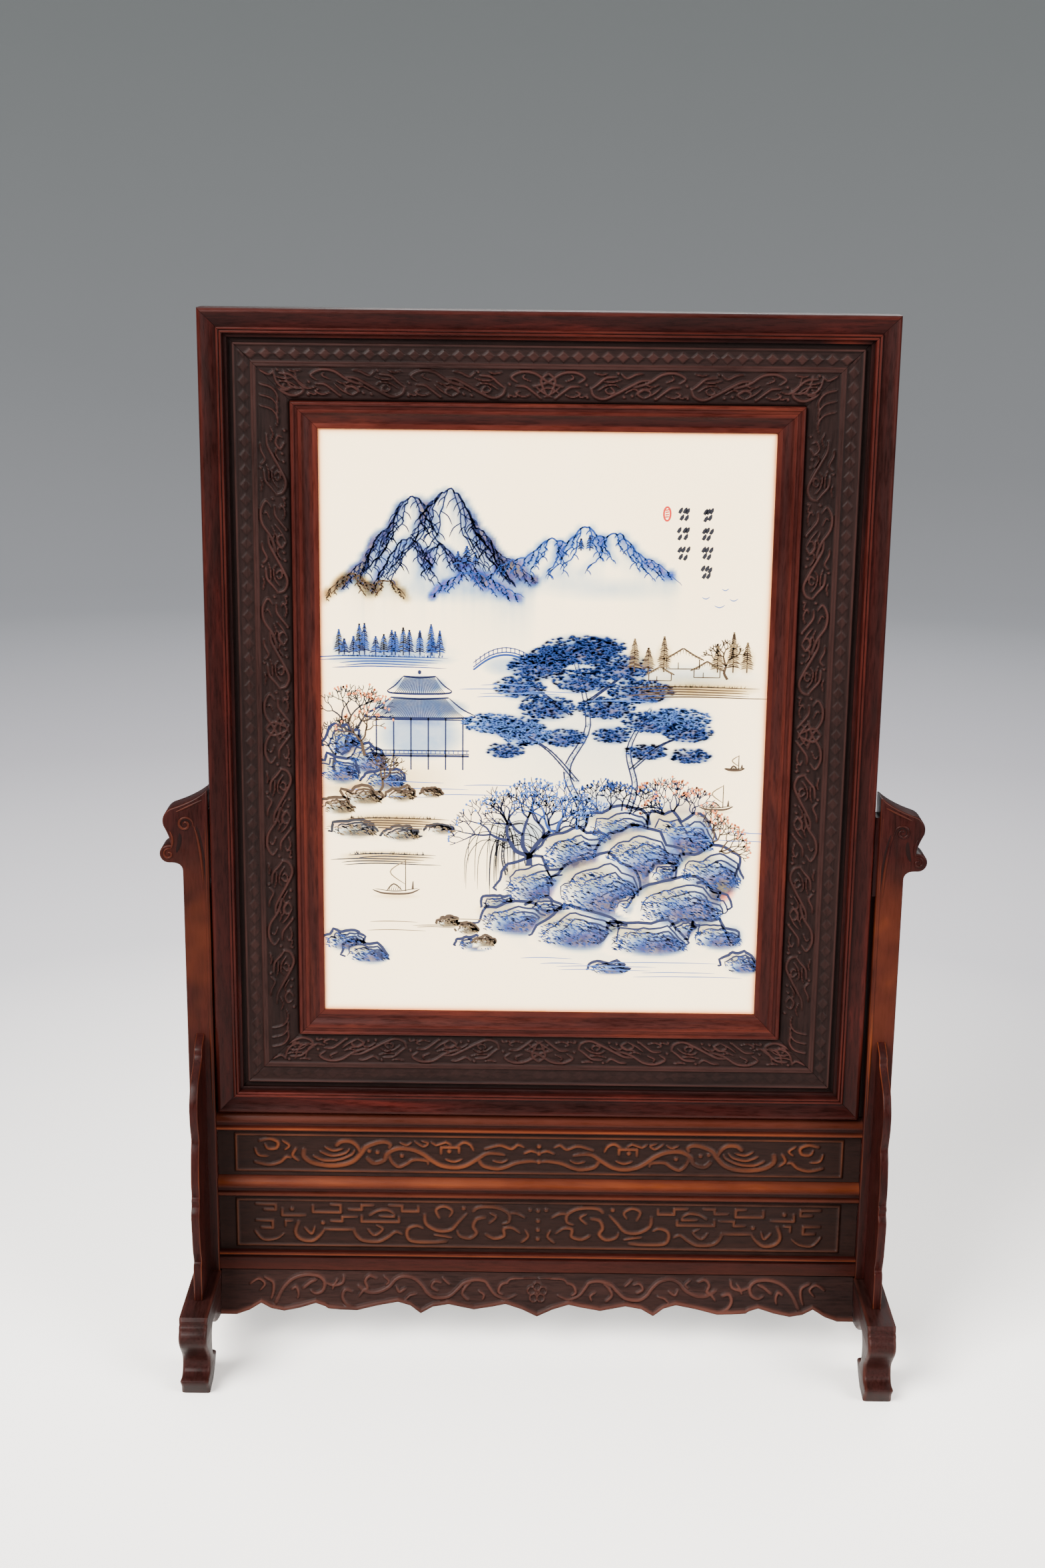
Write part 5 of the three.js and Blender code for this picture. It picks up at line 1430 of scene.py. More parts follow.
def paint_mountain(art, points, foot, fall, line, tint, shade=0.5):
    """A ridge line with folds down its flanks and a wash that fades into mist."""
    ridge = spline(points, 8)
    ridge[:, 1] += art.chance.normal(0, 0.3, len(ridge)) + 1.1 * np.abs(np.sin(ridge[:, 0] * 0.55))
    art.below(tint, shade, ridge, fall)
    art.below(line, shade * 0.5, ridge, fall * 0.3)
    art.curve(line, ridge, 0.7, steps=1)
    for i in range(3, len(ridge) - 3, 3):
        u, v = ridge[i]
        falling = ridge[min(i + 4, len(ridge) - 1), 1] < ridge[max(i - 4, 0), 1]
        lean = (1 if falling else -1) * art.chance.uniform(0.5, 1.0)
        drop = (v - foot) * art.chance.uniform(0.35, 0.85)
        paint_spur(art, u, v, lean, drop, line, tint)


def paint_rock(art, u, v, width, height, line="navy", tint="blue", top="olive"):
    """A boulder in front of what is there: a jagged outline, creases along it, and shade at its foot."""
    art.clear(u, v, width * 0.5, height * 0.96)
    angle = np.linspace(math.pi * 1.04, -math.pi * 0.04, 13)
    bump = 1 + art.chance.normal(0, 0.085, len(angle))
    shape = np.column_stack([np.cos(angle) * bump, np.abs(np.sin(angle)) ** 0.7 * bump])
    shape[:, 0] += 0.14 * shape[:, 1] * art.chance.choice((-1, 1))
    for paint, amount, across, up, reach, rise, edge in (
            (top, 0.45, -0.14, 0.68, 0.34, 0.36, 0.55), ("sky", 0.55, 0.06, 0.35, 0.52, 0.68, 0.7),
            (tint, 0.95, 0.14, 0.16, 0.38, 0.45, 0.8), (tint, 0.7, 0.33, 0.35, 0.17, 0.5, 0.8),
            (line, 0.7, 0.1, 0.04, 0.38, 0.26, 0.9)):
        art.pool(paint, amount, u + width * across, v + height * up, width * reach, height * rise, edge)
    art.curve(line, shape * (width / 2, height) + (u, v), 1.25, 0.5, 0.5, 2, 0.15)
    for shrink, first, last in ((0.84, 1, 13), (0.68, 3, 13), (0.53, 5, 13), (0.4, 3, 11), (0.26, 6, 13)):
        crease = shape[first:last] * (width / 2 * shrink, height * shrink)
        crease += (u + width * 0.5 * (1 - shrink) * 0.6, v - height * 0.05)
        art.curve(line, crease, 0.8, 0.2, 0.5, 2, 0.25)
    for _ in range(int(width * height / 4)):
        across = art.chance.uniform(-0.34, 0.48)
        up = art.chance.uniform(-0.05, 0.7) * math.cos(across * 2.6)
        length = art.chance.uniform(1.5, 3.4)
        frame = (u + width * across, v + height * up, length)
        paint = tint if art.chance.random() < 0.6 else line
        art.sketch(paint, frame, ((-0.5, 0.2), (0, 0.1), (0.35, -0.3)), 0.45, 0.7, 0.1)


def paint_trunk(art, path, width, line, tint):
    """A bent trunk: a pale core between two dark lines, with bark marks across it."""
    middle = spline(path, 6)
    share = np.linspace(0, 1, len(middle))
    half = width / 2 * (1 - 0.6 * share)
    for (u, v), reach in zip(middle, half):
        art.clear(u, v, reach, reach, 1.0)
    for (u, v), reach in zip(middle, half):
        art.pool(tint, 0.45, u + reach * 0.3, v, reach * 1.2, reach * 1.6, 0.6)
    for side in (-1, 1):
        art.line(line, middle + np.column_stack([side * half, 0 * half]), 0.6, 0.9, 0.4)
    for (u, v), reach in zip(middle, half):
        for _ in range(3):
            x = u + art.chance.uniform(-0.8, 0.8) * reach
            z = v + art.chance.normal(0, 1.0)
            art.line(line, [(x - reach * 0.3, z - 0.3), (x, z + 0.5), (x + reach * 0.3, z - 0.2)], 0.35)


def paint_pad(art, u, v, width, height, line="navy", tint="blue"):
    """A cloud of pine needles: fans of short strokes over a dark wash."""
    art.pool(tint, 0.75, u, v, width * 0.56, height * 0.64, 0.6)
    art.pool(line, 0.4, u + width * 0.05, v - height * 0.14, width * 0.44, height * 0.42, 0.7)
    for _ in range(int(width * height / 2.2)):
        turn = art.chance.uniform(0, 2 * math.pi)
        reach = math.sqrt(art.chance.random())
        u0 = u + width / 2 * reach * math.cos(turn)
        v0 = v + height / 2 * reach * math.sin(turn)
        paint = line if art.chance.random() < 0.55 else tint
        for angle in np.radians(np.arange(15, 180, 30) + art.chance.uniform(-10, 10)):
            tip = (u0 + 1.9 * math.cos(angle), v0 + 1.5 * math.sin(angle))
            art.line(paint, [(u0, v0), tip], 0.36, 0.9, 0.2)


def paint_branches(art, u, v, angle, length, width, depth, paint, blossom=None):
    """A bare tree: every branch ends in two or three thinner ones."""
    tip = (u + length * math.cos(angle), v + length * math.sin(angle))
    bend = art.chance.normal(0, 0.12) * length
    middle = ((u + tip[0]) / 2 - bend * math.sin(angle), (v + tip[1]) / 2 + bend * math.cos(angle))
    art.curve(paint, [(u, v), middle, tip], width, 1.0, 0.75, 3)
    if depth == 0:
        if blossom and art.chance.random() < 0.5:
            art.dot(blossom, tip[0], tip[1], 0.6)
        return
    for spread in (-0.55, 0.5) if art.chance.random() < 0.6 else (-0.7, 0.05, 0.65):
        turned = angle + spread + art.chance.normal(0, 0.15)
        turned += 0.12 * (math.pi / 2 - turned)
        share = art.chance.uniform(0.66, 0.84)
        paint_branches(art, *tip, turned, length * share, max(0.32, width * 0.66), depth - 1, paint, blossom)


def paint_conifer(art, u, v, height, width, line, tint):
    art.pool(tint, 0.6, u, v + height * 0.4, width * 0.6, height * 0.5, 0.8)
    art.line(line, [(u, v), (u, v + height * 0.5), (u, v + height)], 0.5, 1.0, 0.4)
    tiers = int(height / 1.3)
    for i in range(tiers):
        share = (i + 0.5) / tiers
        reach = width / 2 * (1 - share) ** 0.7 * art.chance.uniform(0.75, 1.15)
        level = v + height * (0.12 + 0.88 * share)
        for side in (-1, 1):
            paint = line if art.chance.random() < 0.5 else tint
            twig = [(u, level + 0.5), (u + side * reach * 0.6, level), (u + side * reach, level - 0.7)]
            art.line(paint, twig, 0.6, 0.9, 0.2)


def paint_willow(art, u, v, height, paint, tint):
    trunk = [(u + x, v + height * share) for x, share in ((0, 0), (2, 0.3), (-1, 0.6), (1, 1))]
    paint_trunk(art, trunk, 2.2, paint, tint)
    for _ in range(34):
        side = art.chance.choice((-1, 1))
        reach = side * art.chance.uniform(2, height * 0.55)
        top = v + height * art.chance.uniform(0.7, 1.05)
        drop = height * art.chance.uniform(0.35, 0.8)
        hang = [(u, top), (u + reach * 0.6, top + 2.5), (u + reach, top - drop * 0.3),
                (u + reach * 1.05, top - drop)]
        art.curve(paint, hang, 0.35, 0.8, 0.2, 4)


def paint_roof(art, u, v, width, height, line="navy", tint="blue"):
    """A tiled roof with eaves that turn up."""
    left, right = u - width / 2, u + width / 2
    inset = width * 0.22
    eave = [(left - 2, v + 1.6), (left + 1, v + 0.2), (u, v - 0.3), (right - 1, v + 0.2),
            (right + 2, v + 1.6)]
    ridge = [(left + inset, v + height), (u, v + height * 0.93), (right - inset, v + height)]
    art.pool(tint, 0.8, u, v + height * 0.5, width * 0.5, height * 0.6, 0.4)
    art.curve(line, eave, 0.8, 0.5, 0.5)
    art.curve(line, ridge, 0.8, 0.7, 0.7)
    for start, end in ((eave[0], ridge[0]), (eave[-1], ridge[-1])):
        art.curve(line, [start, ((start[0] + end[0]) / 2, start[1] * 0.62 + end[1] * 0.38), end], 0.6)
    for share in np.linspace(0.06, 0.94, int(width / 1.3)):
        top = (ridge[0][0] + (ridge[-1][0] - ridge[0][0]) * share, v + height * 0.95)
        low = (left + width * share, v)
        art.line(line, [top, ((top[0] + low[0]) / 2, v + height * 0.38), low], 0.28, 0.8, 0.8)


def paint_kiosk(art, u, v, width):
    """An open kiosk on stilts over the water, with two roofs and a railing."""
    deck = v + width * 0.14
    eaves = deck + width * 0.38
    art.pool("sky", 0.7, u, deck + width * 0.2, width * 0.46, width * 0.26, 0.4)
    art.pool("blue", 0.35, u, eaves - 2.0, width * 0.46, 4.0, 0.8)
    for x in u + width * np.linspace(-0.42, 0.42, 6):
        art.line("navy", [(x, v), (x, eaves)], 0.55, 1.0, 1.0)
    for level, thick in ((deck, 0.9), (deck + 1.2, 0.4), (deck + 3.2, 0.5), (eaves - 1.2, 0.5)):
        art.sketch("navy", (u, level, width), ((-0.48, 0), (0, 0), (0.48, 0)), thick, 0.9, 0.9)
    for x in u + width * np.linspace(-0.46, 0.46, 22):
        art.line("blue", [(x, deck + 1.2), (x, deck + 3.2)], 0.3, 1.0, 1.0)
    paint_roof(art, u, eaves, width, width * 0.2)
    paint_roof(art, u, eaves + width * 0.24, width * 0.56, width * 0.17)
    art.dot("navy", u, eaves + width * 0.45, 1.0)


def paint_bridge(art, u, v, width, height):
    for lift, thick in ((0, 0.8), (1.6, 0.5), (4.2, 0.4)):
        arch = [(u + width * share, v + height * rise + lift)
                for share, rise in ((-0.5, 0), (-0.25, 0.75), (0, 1), (0.25, 0.75), (0.5, 0))]
        art.curve("blue", arch, thick, 0.8, 0.8, 6)
    for share in np.linspace(-0.46, 0.46, 15):
        x, level = u + width * share, v + height * math.cos(share * math.pi) ** 0.8
        art.line("blue", [(x, level + 1.6), (x, level + 4.6)], 0.35, 1.0, 1.0)
    art.pool("sky", 0.5, u, v + height * 0.3, width * 0.42, height * 0.8)


def paint_house(art, u, v, width):
    walls, roof = (u, v, width), (u, v + width * 0.3, width)
    for side in (-0.5, 0.5):
        art.sketch("brown", walls, ((side, 0), (side, 0.3)), 0.4, 1.0, 1.0)
    art.sketch("brown", walls, ((-0.5, 0), (0, 0), (0.5, 0)), 0.4, 0.8, 0.8)
    art.sketch("brown", walls, ((-0.14, 0), (-0.14, 0.2)), 0.35, 1.0, 1.0)
    for side in (-1, 1):
        slope = ((0, 0.34), (side * 0.34, 0.12), (side * 0.64, -0.03))
        art.sketch("brown", roof, slope, 0.7, 0.7, 0.5, 5)
    for share in np.linspace(-0.56, 0.56, 13):
        top = 0.3 * (1 - abs(share) * 1.3)
        art.sketch("olive", roof, ((share * 0.9, top), (share, top - 0.13)), 0.35)


def paint_boat(art, u, v, size):
    """A small boat with a hull, a mast, a sail and one figure."""
    boat = (u, v, size)
    for points, width in (
            (((-1, 0.16), (-0.5, 0), (0.5, 0), (1, 0.2)), 0.8), (((-0.9, 0.2), (0, 0.1), (0.92, 0.24)), 0.4),
            (((-0.4, 0.12), (-0.1, 0.42), (0.25, 0.14)), 0.6)):
        art.sketch("brown", boat, points, width, steps=5)
    for share in np.linspace(-0.3, 0.15, 6):
        art.sketch("brown", boat, ((share, 0.14), (share + 0.04, 0.34)), 0.3)
    art.sketch("brown", boat, ((0.4, 0.1), (0.4, 1.5)), 0.4, 1.0, 0.8)
    art.sketch("olive", boat, ((0.4, 1.45), (-0.25, 0.95), (0.4, 0.4)), 0.45, steps=5)
    art.sketch("brown", boat, ((0.7, 0.2), (0.72, 0.55)), 0.9, 0.8, 0.4)
    art.pool("olive", 0.3, u, v - size * 0.12, size * 1.1, size * 0.16)


def paint_water(art, u, v, reach, rows, paint="sky"):
    for i in range(rows):
        start = u + art.chance.uniform(-reach, reach * 0.4)
        length = art.chance.uniform(0.25, 0.8) * reach
        level = v - i * 1.7 + art.chance.normal(0, 0.4)
        ripple = [(start, level), (start + length * 0.4, level + 0.5), (start + length, level)]
        art.curve(paint, ripple, 0.35, 0.2, 0.2, 5)


def paint_bank(art, u, v, width, line="brown", tint="olive"):
    """A low sandbar with short grass."""
    art.pool(tint, 0.7, u, v - 1.5, width * 0.52, 4.5)
    for i in range(5):
        reach = width * art.chance.uniform(0.3, 0.55)
        level = v - i * 1.5
        shift = art.chance.normal(0, width * 0.08)
        art.curve(line, [(u + shift - reach, level - 0.6), (u + shift - reach * 0.3, level + 0.5),
                         (u + shift + reach, level - 0.4)], 0.5, 0.2, 0.2, 6)
    for _ in range(int(width * 0.8)):
        x = u + art.chance.uniform(-0.4, 0.4) * width
        tip = (x + art.chance.normal(0, 0.6), v + art.chance.uniform(0.8, 2.2))
        art.line(line, [(x, v), tip], 0.35, 1.0, 0.2)


INSCRIPTION_PLACE = (92.0, 127.0)
INSCRIPTION_STEP = (13.5, 11.0)
MARK_DABS = ((-3.0, 0.6), (-0.9, 0.9), (1.2, 0.6), (-2.4, -3.1), (0.1, -3.3))
DAB_PATH = np.array([(0, 0), (1.1, 1.8), (1.8, 3.3)])
COLUMN_MARKS = (4, 3)
SEAL_SIZE = (1.9, 3.9)


def paint_inscription(art):
    """Two columns of marks, each two rows of short slanting dabs side by side, which are no letters."""
    first_u, first_v = INSCRIPTION_PLACE
    step_u, step_v = INSCRIPTION_STEP
    for column, marks in enumerate(COLUMN_MARKS):
        for row in range(marks):
            for across, up in MARK_DABS:
                place = np.array((first_u - column * step_u + across, first_v - row * step_v + up))
                art.line("ink", place + art.chance.normal(0, 0.3, 2) + DAB_PATH, 1.35, 0.8, 0.35)
    seal = (first_u - len(COLUMN_MARKS) * step_u + 3.5, first_v + 0.5)
    art.line("red", curl_path(0, 0, 1.0, 1.0, 0, 2 * math.pi, 20) * SEAL_SIZE + seal, 0.7, 1.0, 1.0)
    for lift in (-1.8, -0.5, 0.9, 2.1):
        art.sketch("red", (*seal, 1.0), ((-1, lift), (1, lift + 0.3)), 0.5, 1.0, 0.8)


# Each mountain: its ridge, its foot, the fall of its shade, its line and tint, and how deep the shade is
MOUNTAINS = (
    (((-34, 88), (-22, 98), (-10, 102), (2, 112), (12, 110), (22, 119), (32, 113), (42, 115), (54, 103),
      (64, 98), (78, 86)), 84, 10, "blue", "sky", 0.6),
    (((-116, 84), (-109, 94), (-102, 99), (-96, 112), (-89, 118), (-83, 130), (-75, 135), (-68, 130),
      (-61, 136), (-53, 139), (-46, 130), (-41, 119), (-34, 114), (-27, 103), (-17, 98), (-4, 86)),
     80, 16, "navy", "blue", 0.6),
    (((-100, 82), (-92, 95), (-84, 108), (-76, 111), (-69, 103), (-60, 108), (-52, 101),
      (-42, 97), (-34, 84)), 78, 10, "navy", "sky", 0.75),
    (((-66, 78), (-56, 86), (-46, 92), (-34, 90), (-24, 84), (-12, 78)), 74, 8, "blue", "sky", 0.7),
    (((-126, 78), (-116, 88), (-108, 90), (-100, 84), (-90, 87), (-80, 78)), 73, 7, "brown", "olive", 0.5),
)
# The trunks of the pines and their widths, from the lowest point up
PINES = (
    (((16, -84), (24, -52), (14, -24), (26, 4), (18, 42)), 5.0),
    (((34, -84), (46, -58), (54, -34), (50, -10), (62, 14)), 4.4),
    (((20, -30), (4, -12), (-12, -2)), 2.6),
    (((16, 10), (0, 22), (-10, 32)), 2.2),
    (((20, 14), (36, 26), (46, 34)), 2.0),
    (((52, -22), (68, -8), (82, -2)), 2.4),
)
# Pads of needles and rocks: (u, v, width, height)
PADS = (
    (4, 44, 30, 12), (32, 50, 30, 12), (20, 48, 44, 17), (-4, 38, 34, 15), (44, 38, 36, 15),
    (-14, 26, 30, 13), (22, 30, 34, 14), (56, 24, 38, 14), (2, 14, 34, 14), (36, 14, 34, 13),
    (-16, 2, 34, 13), (64, 6, 38, 13), (12, -4, 26, 11), (84, 0, 30, 12), (86, -14, 26, 9),
    (-22, -12, 22, 9), (60, -12, 26, 9), (40, -2, 24, 10),
)
ROCKS = (
    (44, -66, 44, 20), (80, -72, 44, 26), (18, -82, 46, 24), (58, -88, 58, 32), (98, -94, 42, 24),
    (-4, -102, 46, 22), (34, -108, 62, 32), (80, -114, 58, 26), (-18, -122, 46, 18), (18, -130, 54, 22),
    (62, -134, 54, 18), (104, -130, 34, 15), (-40, -134, 22, 8), (120, -146, 24, 12), (40, -148, 26, 7),
    (2, -114, 26, 12), (56, -110, 24, 11), (94, -104, 26, 12), (30, -90, 22, 10), (74, -90, 22, 11),
    (-26, -110, 22, 10), (62, -74, 24, 12), (46, -126, 22, 9), (88, -124, 22, 9),
)
BROWN_ROCK = ("brown", "olive", "rust")
PAINTING_SEED = 11


def paint_scene(art):
    """A generic river landscape in blues and browns, on bare glaze."""
    for mountain in MOUNTAINS:
        paint_mountain(art, *mountain)
    for x, height in ((-50, 9), (-45, 12), (-40, 8), (20, 7), (25, 9)):
        paint_conifer(art, x, 96 if x < 0 else 106, height, height * 0.7, "navy", "blue")
    for u, v, reach in ((-56, 82, 62), (36, 84, 45), (86, 34, 40), (-90, 46, 44)):
        art.pool("sky", 0.35, u, v, reach, 8, 0.9)
    for u, v, reach_u, reach_v in ((-60, 92, 34, 14), (8, 92, 30, 10), (-24, 84, 24, 8)):
        art.pool("sky", 0.3, u, v, reach_u, reach_v, 0.9)

    for i, x in enumerate(np.linspace(-120, -58, 15)):
        line = "navy" if i % 3 else "ink"
        paint_conifer(art, x + art.chance.normal(0, 1.5), 44, art.chance.uniform(9, 19), 7, line, "blue")
    paint_bank(art, -88, 43, 76, "blue", "sky")
    for x in (52, 60, 69, 100, 109, 117):
        paint_conifer(art, x, 36, art.chance.uniform(14, 26), 9, "brown", "olive")
    for u, v, width in ((80, 38, 19), (94, 33, 15), (67, 31, 13)):
        paint_house(art, u, v, width)
    paint_branches(art, 106, 32, 1.7, 8, 1.0, 4, "brown")
    art.pool("olive", 0.4, 86, 28, 44, 8, 0.9)
    paint_bank(art, 88, 27, 74)
    paint_bridge(art, -22, 36, 38, 9)
    paint_water(art, 0, 27, 60, 6)

    art.pool("olive", 0.35, -92, -30, 46, 16, 0.9)
    paint_kiosk(art, -72, -24, 60)
    for rock in ((-116, -14, 24, 16), (-104, -24, 28, 15), (-120, -30, 26, 14), (-94, -34, 26, 11)):
        paint_rock(art, *rock)
    paint_branches(art, -114, -14, 1.45, 12, 1.4, 5, "ink", "rust")
    paint_branches(art, -104, -16, 1.8, 9, 1.1, 4, "brown", "rust")
    art.pool("rust", 0.16, -112, 6, 15, 12)
    art.pool("olive", 0.5, -104, -36, 34, 9, 0.8)
    for rock in ((-106, -44, 24, 9), (-84, -42, 18, 7), (-120, -50, 20, 9), (-66, -40, 13, 5)):
        paint_rock(art, *rock, *BROWN_ROCK)
    paint_branches(art, -96, -38, 1.3, 8, 1.0, 4, "brown")
    paint_branches(art, -122, -26, 1.5, 10, 1.2, 5, "ink")
    paint_water(art, -60, -32, 60, 6)
    art.pool("olive", 0.5, -92, -58, 40, 10, 0.8)
    paint_bank(art, -88, -54, 64)
    for rock in ((-112, -64, 30, 9), (-84, -66, 26, 7), (-60, -62, 18, 5)):
        paint_rock(art, *rock, "ink", "olive", "rust")
    paint_bank(art, -92, -76, 56, "ink", "olive")

    art.pool("sky", 0.22, 34, 0, 78, 62, 0.9)
    for u, v, width, height in ((-30, 10, 34, 12), (78, 14, 40, 13), (-10, 4, 30, 14)):
        paint_pad(art, u, v - 6, width, height, "blue", "sky")
    for path, width in PINES:
        paint_trunk(art, path, width, "navy", "blue")
    for pad in PADS:
        paint_pad(art, *pad)
    paint_willow(art, -22, -104, 46, "ink", "blue")
    for u, v, reach_u, reach_v in ((-6, -62, 30, 20), (34, -50, 26, 18), (80, -54, 26, 18)):
        art.pool("sky", 0.5, u, v, reach_u, reach_v, 0.9)
    for branch in (
            (-2, -94, 1.85, 19, 2.6, 6, "navy", "sky"), (10, -92, 1.4, 17, 2.2, 6, "blue", "sky"),
            (46, -76, 1.75, 14, 1.8, 6, "navy", "blue"), (78, -80, 1.4, 15, 1.8, 6, "navy", "rust"),
            (92, -84, 1.1, 11, 1.4, 5, "brown", "rust")):
        paint_branches(art, *branch)
    art.pool("rust", 0.3, 84, -54, 22, 16)

    art.pool("sky", 0.3, 48, -104, 84, 46, 0.8)
    for rock in sorted(ROCKS, key=lambda place: -place[1]):
        paint_rock(art, *rock)
    for u, v in ((-44, -124), (-56, -120), (-34, -132)):
        paint_rock(art, u, v, 14, 6, *BROWN_ROCK)
    for rock in ((-118, -134, 26, 12), (-104, -142, 28, 11)):
        paint_rock(art, *rock)
    paint_water(art, 40, -140, 90, 7, "sky")
    paint_water(art, -70, -116, 50, 5, "olive")
    for boat in ((102, -46, 10), (112, -22, 6), (-86, -100, 14)):
        paint_boat(art, *boat)
    paint_water(art, 96, -58, 40, 6)
    art.pool("red", 0.85, 108, -96, 8, 8, 0.7)
    art.pool("rust", 0.5, 103, -100, 9, 6, 0.8)
    for u, v, size in ((100, 74, 3), (108, 78, 2.4), (92, 79, 2.2), (103, 84, 2)):
        art.sketch("sky", (u, v, size), ((-1, 0.4), (0, 0), (1, 0.5)), 0.4, steps=5)
    paint_inscription(art)


WASH_CELL = 1.5
BRUSH_LIFT = 0.04
LIFT_STEP = 0.1
# Where the painted warm shade at the glaze's edges begins, and how far inward it fades
EDGE_SHADE_START = 0.2
EDGE_SHADE_REACH = 1.1


def make_plaque(material):
    half_w = SCREEN_WIDTH / 2 - BORDER_INNER - MOULDING_SEAT - FIT
    half_h = SCREEN_HEIGHT / 2 - BORDER_INNER - MOULDING_SEAT - FIT
    across = np.linspace(-half_w, half_w, int(2 * half_w / WASH_CELL))
    up = np.linspace(-half_h, half_h, int(2 * half_h / WASH_CELL))
    u, v = np.meshgrid(across, up, indexing="ij")
    face = SEAT_DEPTH - SCREEN_THICK / 2
    art = Painting(u, v, PAINTING_SEED)
    paint_scene(art)
    edge = np.minimum(SCREEN_WIDTH / 2 - np.abs(u), SCREEN_HEIGHT / 2 - np.abs(v)) - SIGHT_EDGE
    # Painted warm shade along the glaze's edges, where the moulding's lip stands over them
    art.wash("warm_edge_shade", 1.0, np.exp(-np.clip(edge - EDGE_SHADE_START, 0, None) / EDGE_SHADE_REACH))
    front = np.stack([u + SCREEN_SHIFT, np.full_like(u, face), v + SCREEN_MIDDLE], axis=-1)
    verts, faces = carved_slab(front, BOARD_BACK - SCREEN_THICK / 2)
    piece = add_piece("painted_plaque", verts, faces, material, ["plaque"])
    colours = np.ones((len(verts), 4), np.float32)
    colours[:u.size, :3] = np.exp(-art.stain).reshape(-1, 3)
    layer = piece.data.color_attributes.new("wash", "FLOAT_COLOR", "POINT")
    layer.data.foreach_set("color", colours.ravel())
    for order, (paint, colour) in enumerate(PAINTS.items()):
        flat, faces = art.shown(paint)
        flat = np.clip(flat, (-half_w, -half_h), (half_w, half_h))
        lift = BRUSH_LIFT * (1 + order * LIFT_STEP)
        strokes = front_space(flat + (SCREEN_SHIFT, SCREEN_MIDDLE), face - lift)
        add_piece(f"brushwork_{paint}", strokes, faces, paint_material(f"{paint}_paint", colour),
                  [], closed=False)


# The studio

# Painted light falloff on the paper, from near the object to far off
FALLOFF_STOPS = (
    (0.06, (0.93, 0.9, 0.86)), (0.21, (0.43, 0.42, 0.44)), (0.4, (0.27, 0.265, 0.29)),
    (0.62, (0.22, 0.225, 0.245)), (0.85, (0.14, 0.147, 0.156)), (1.0, (0.095, 0.104, 0.106)),
)
FALLOFF_REACH = 4.0
PAPER_ROUGHNESS = 0.9
STAGE_FLAT = 2.6
STAGE_CURVE = 1.2
STAGE_WALL = 2.2
STAGE_TURNS = 72


def stage_material():
    """Painted light falloff: pale near the object and greyer further off, as paper under a soft light."""
    n = Nodes("studio_paper_painted_falloff")
    coords = n.add("ShaderNodeTexCoord", {}).outputs["Object"]
    length = n.add("ShaderNodeVectorMath", {0: coords}, operation="LENGTH").outputs["Value"]
    n.surface("Base Color", n.ramp(n.grey(length, 0.0, 1.0, 0.0, FALLOFF_REACH), FALLOFF_STOPS))
    n.surface("Roughness", PAPER_ROUGHNESS)
    return n.material


def make_stage():
    """A floor that curves up into a round wall, the same from every side."""
    profile = [(0.0, 0.0), (1.0, 0.0), (2.0, 0.0)]
    for angle in np.linspace(0, math.pi / 2, 12):
        profile.append((STAGE_FLAT + STAGE_CURVE * math.sin(angle), STAGE_CURVE * (1 - math.cos(angle))))
    profile.append((STAGE_FLAT + STAGE_CURVE, STAGE_CURVE + STAGE_WALL))
    verts = []
    for radius, height in profile:
        for i in range(STAGE_TURNS):
            angle = 2 * math.pi * i / STAGE_TURNS
            verts.append((radius * math.cos(angle), radius * math.sin(angle), height))
    faces = ring_faces(len(profile), STAGE_TURNS)
    mesh = bpy.data.meshes.new("studio_floor")
    mesh.from_pydata(verts, [], faces)
    mesh.validate()
    mesh.shade_smooth()
    floor = bpy.data.objects.new("studio_floor", mesh)
    bpy.context.scene.collection.objects.link(floor)
    mesh.materials.append(stage_material())


# Each light: its name, its place and target, its width and height, its power and its colour
LIGHTS = (
    ("key_softbox", (-1.5, -1.7, 1.9), (0, 0, 0.3), (1.6, 1.6), 375.0, (1.0, 0.98, 0.95)),
    ("fill_softbox", (1.8, -1.5, 1.3), (0, 0, 0.3), (1.4, 1.6), 150.0, (1.0, 0.97, 0.95)),
    ("overhead_softbox", (0, 0.2, 2.6), (0, 0, 0), (2.0, 2.0), 45.0, (0.97, 0.98, 1.0)),
    ("back_softbox", (0.4, 2.0, 1.8), (0, 0, 0.3), (1.6, 1.2), 40.0, (1.0, 1.0, 1.0)),
)
AIR_COLOUR = (0.75, 0.78, 0.8, 1.0)
AIR_STRENGTH = 0.6


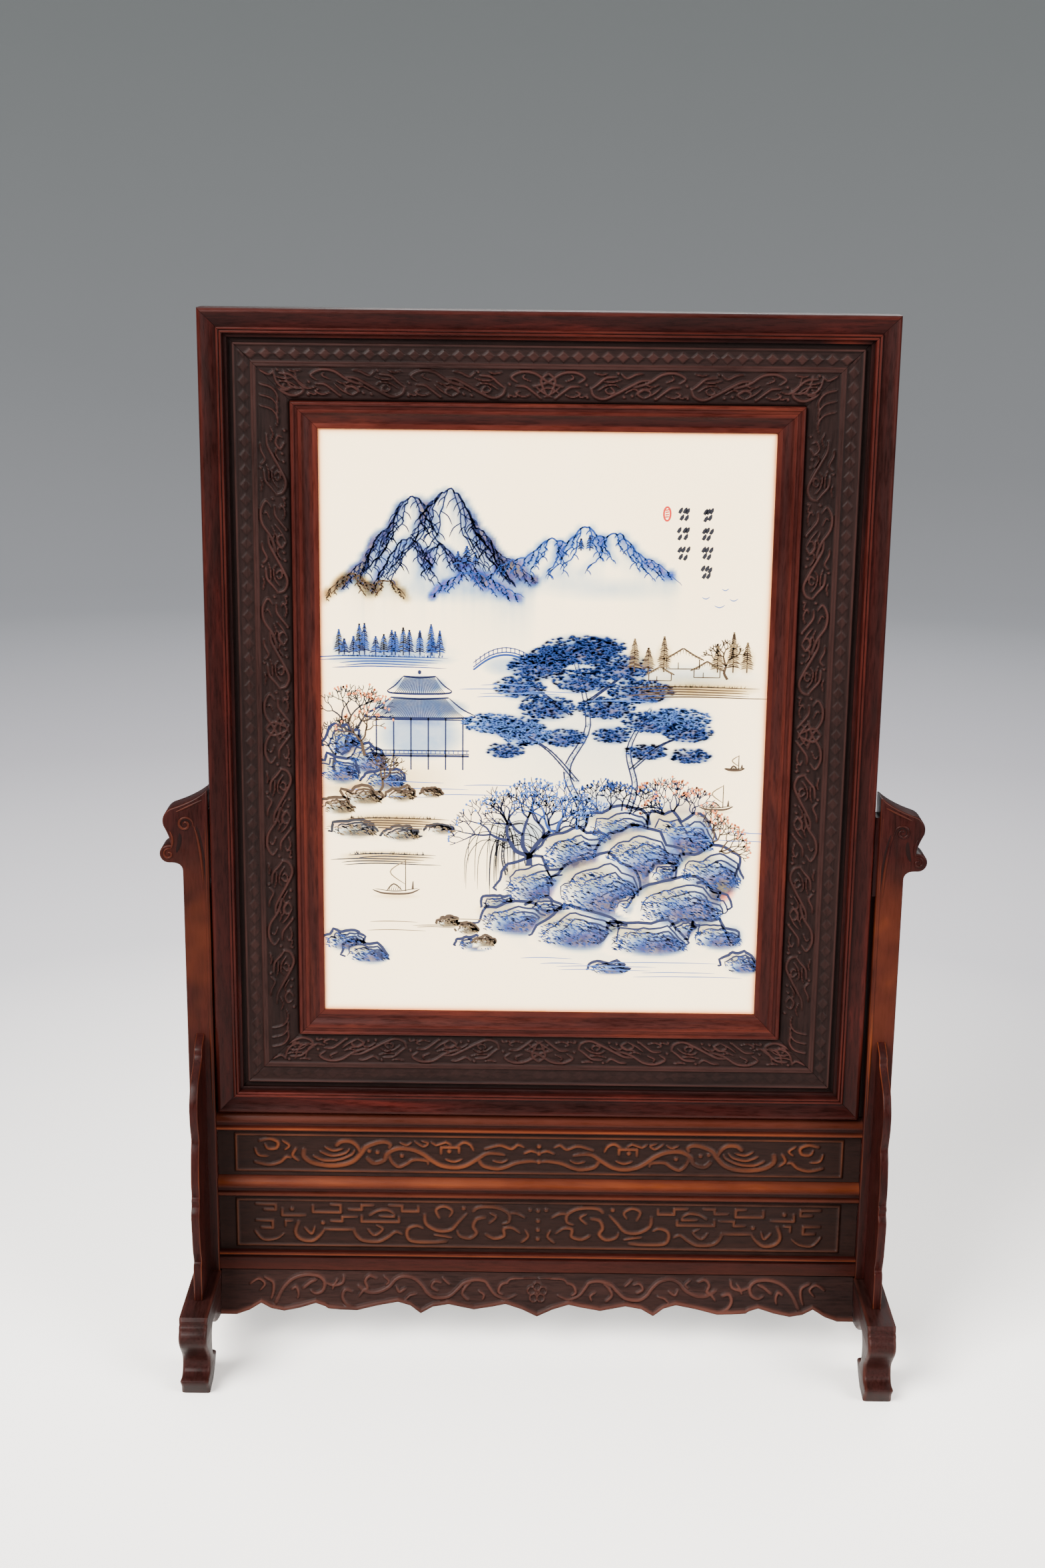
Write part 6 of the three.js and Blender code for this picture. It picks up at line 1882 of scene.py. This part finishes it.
def make_lights():
    for name, place, target, size, power, colour in LIGHTS:
        light = bpy.data.lights.new(name, "AREA")
        light.shape = "RECTANGLE"
        light.size, light.size_y = size
        light.energy = power
        light.color = colour
        lamp = bpy.data.objects.new(name, light)
        lamp.location = place
        lamp.rotation_euler = (Vector(target) - Vector(place)).to_track_quat("-Z", "Y").to_euler()
        bpy.context.scene.collection.objects.link(lamp)
    world = bpy.data.worlds.new("studio_air")
    world.use_nodes = True
    background = world.node_tree.nodes["Background"]
    background.inputs["Color"].default_value = AIR_COLOUR
    background.inputs["Strength"].default_value = AIR_STRENGTH
    bpy.context.scene.world = world


CAMERA_PLACE = (-10.4, -1234.9, 694.6)
CAMERA_YAW = 0.11
CAMERA_PITCH = -14.97
CAMERA_ROLL = -0.67
CAMERA_SENSOR = 36.0
CAMERA_LENS = 50.0


def make_camera():
    camera = bpy.data.cameras.new("camera")
    camera.sensor_fit = "VERTICAL"
    camera.sensor_height = CAMERA_SENSOR
    camera.lens = CAMERA_LENS
    camera.clip_start = 0.05
    camera.clip_end = 30.0
    viewer = bpy.data.objects.new("camera", camera)
    viewer.location = [value * MM for value in CAMERA_PLACE]
    yaw = Euler((0, 0, math.radians(CAMERA_YAW))).to_matrix()
    pitch = Euler((math.radians(CAMERA_PITCH), 0, 0)).to_matrix()
    roll = Euler((0, math.radians(CAMERA_ROLL), 0)).to_matrix()
    upright = Euler((math.pi / 2, 0, 0)).to_matrix()
    viewer.rotation_euler = (yaw @ pitch @ roll @ upright).to_euler()
    bpy.context.scene.collection.objects.link(viewer)
    bpy.context.scene.camera = viewer


def build():
    make_camera()
    materials = make_materials()
    make_frames(materials)
    make_borders(materials)
    make_mouldings(materials)
    make_back_board(materials)
    make_plaque(porcelain_material())
    make_posts(materials)
    make_rails(materials)
    upper_lines = (UPPER_PANEL_CURVES, UPPER_PANEL_BARS, UPPER_PANEL_BEADS)
    lower_lines = (LOWER_PANEL_CURVES, LOWER_PANEL_BARS, LOWER_PANEL_BEADS)
    make_panel("upper", RAIL_MIDDLE[1], RAIL_UPPER[0], UPPER_SWING, upper_lines, materials)
    make_panel("lower", RAIL_LOWER[1], RAIL_MIDDLE[0], LOWER_SWING, lower_lines, materials)
    make_feet(materials)
    make_spandrels(materials)
    make_aprons(materials)
    make_stage()
    make_lights()


build()
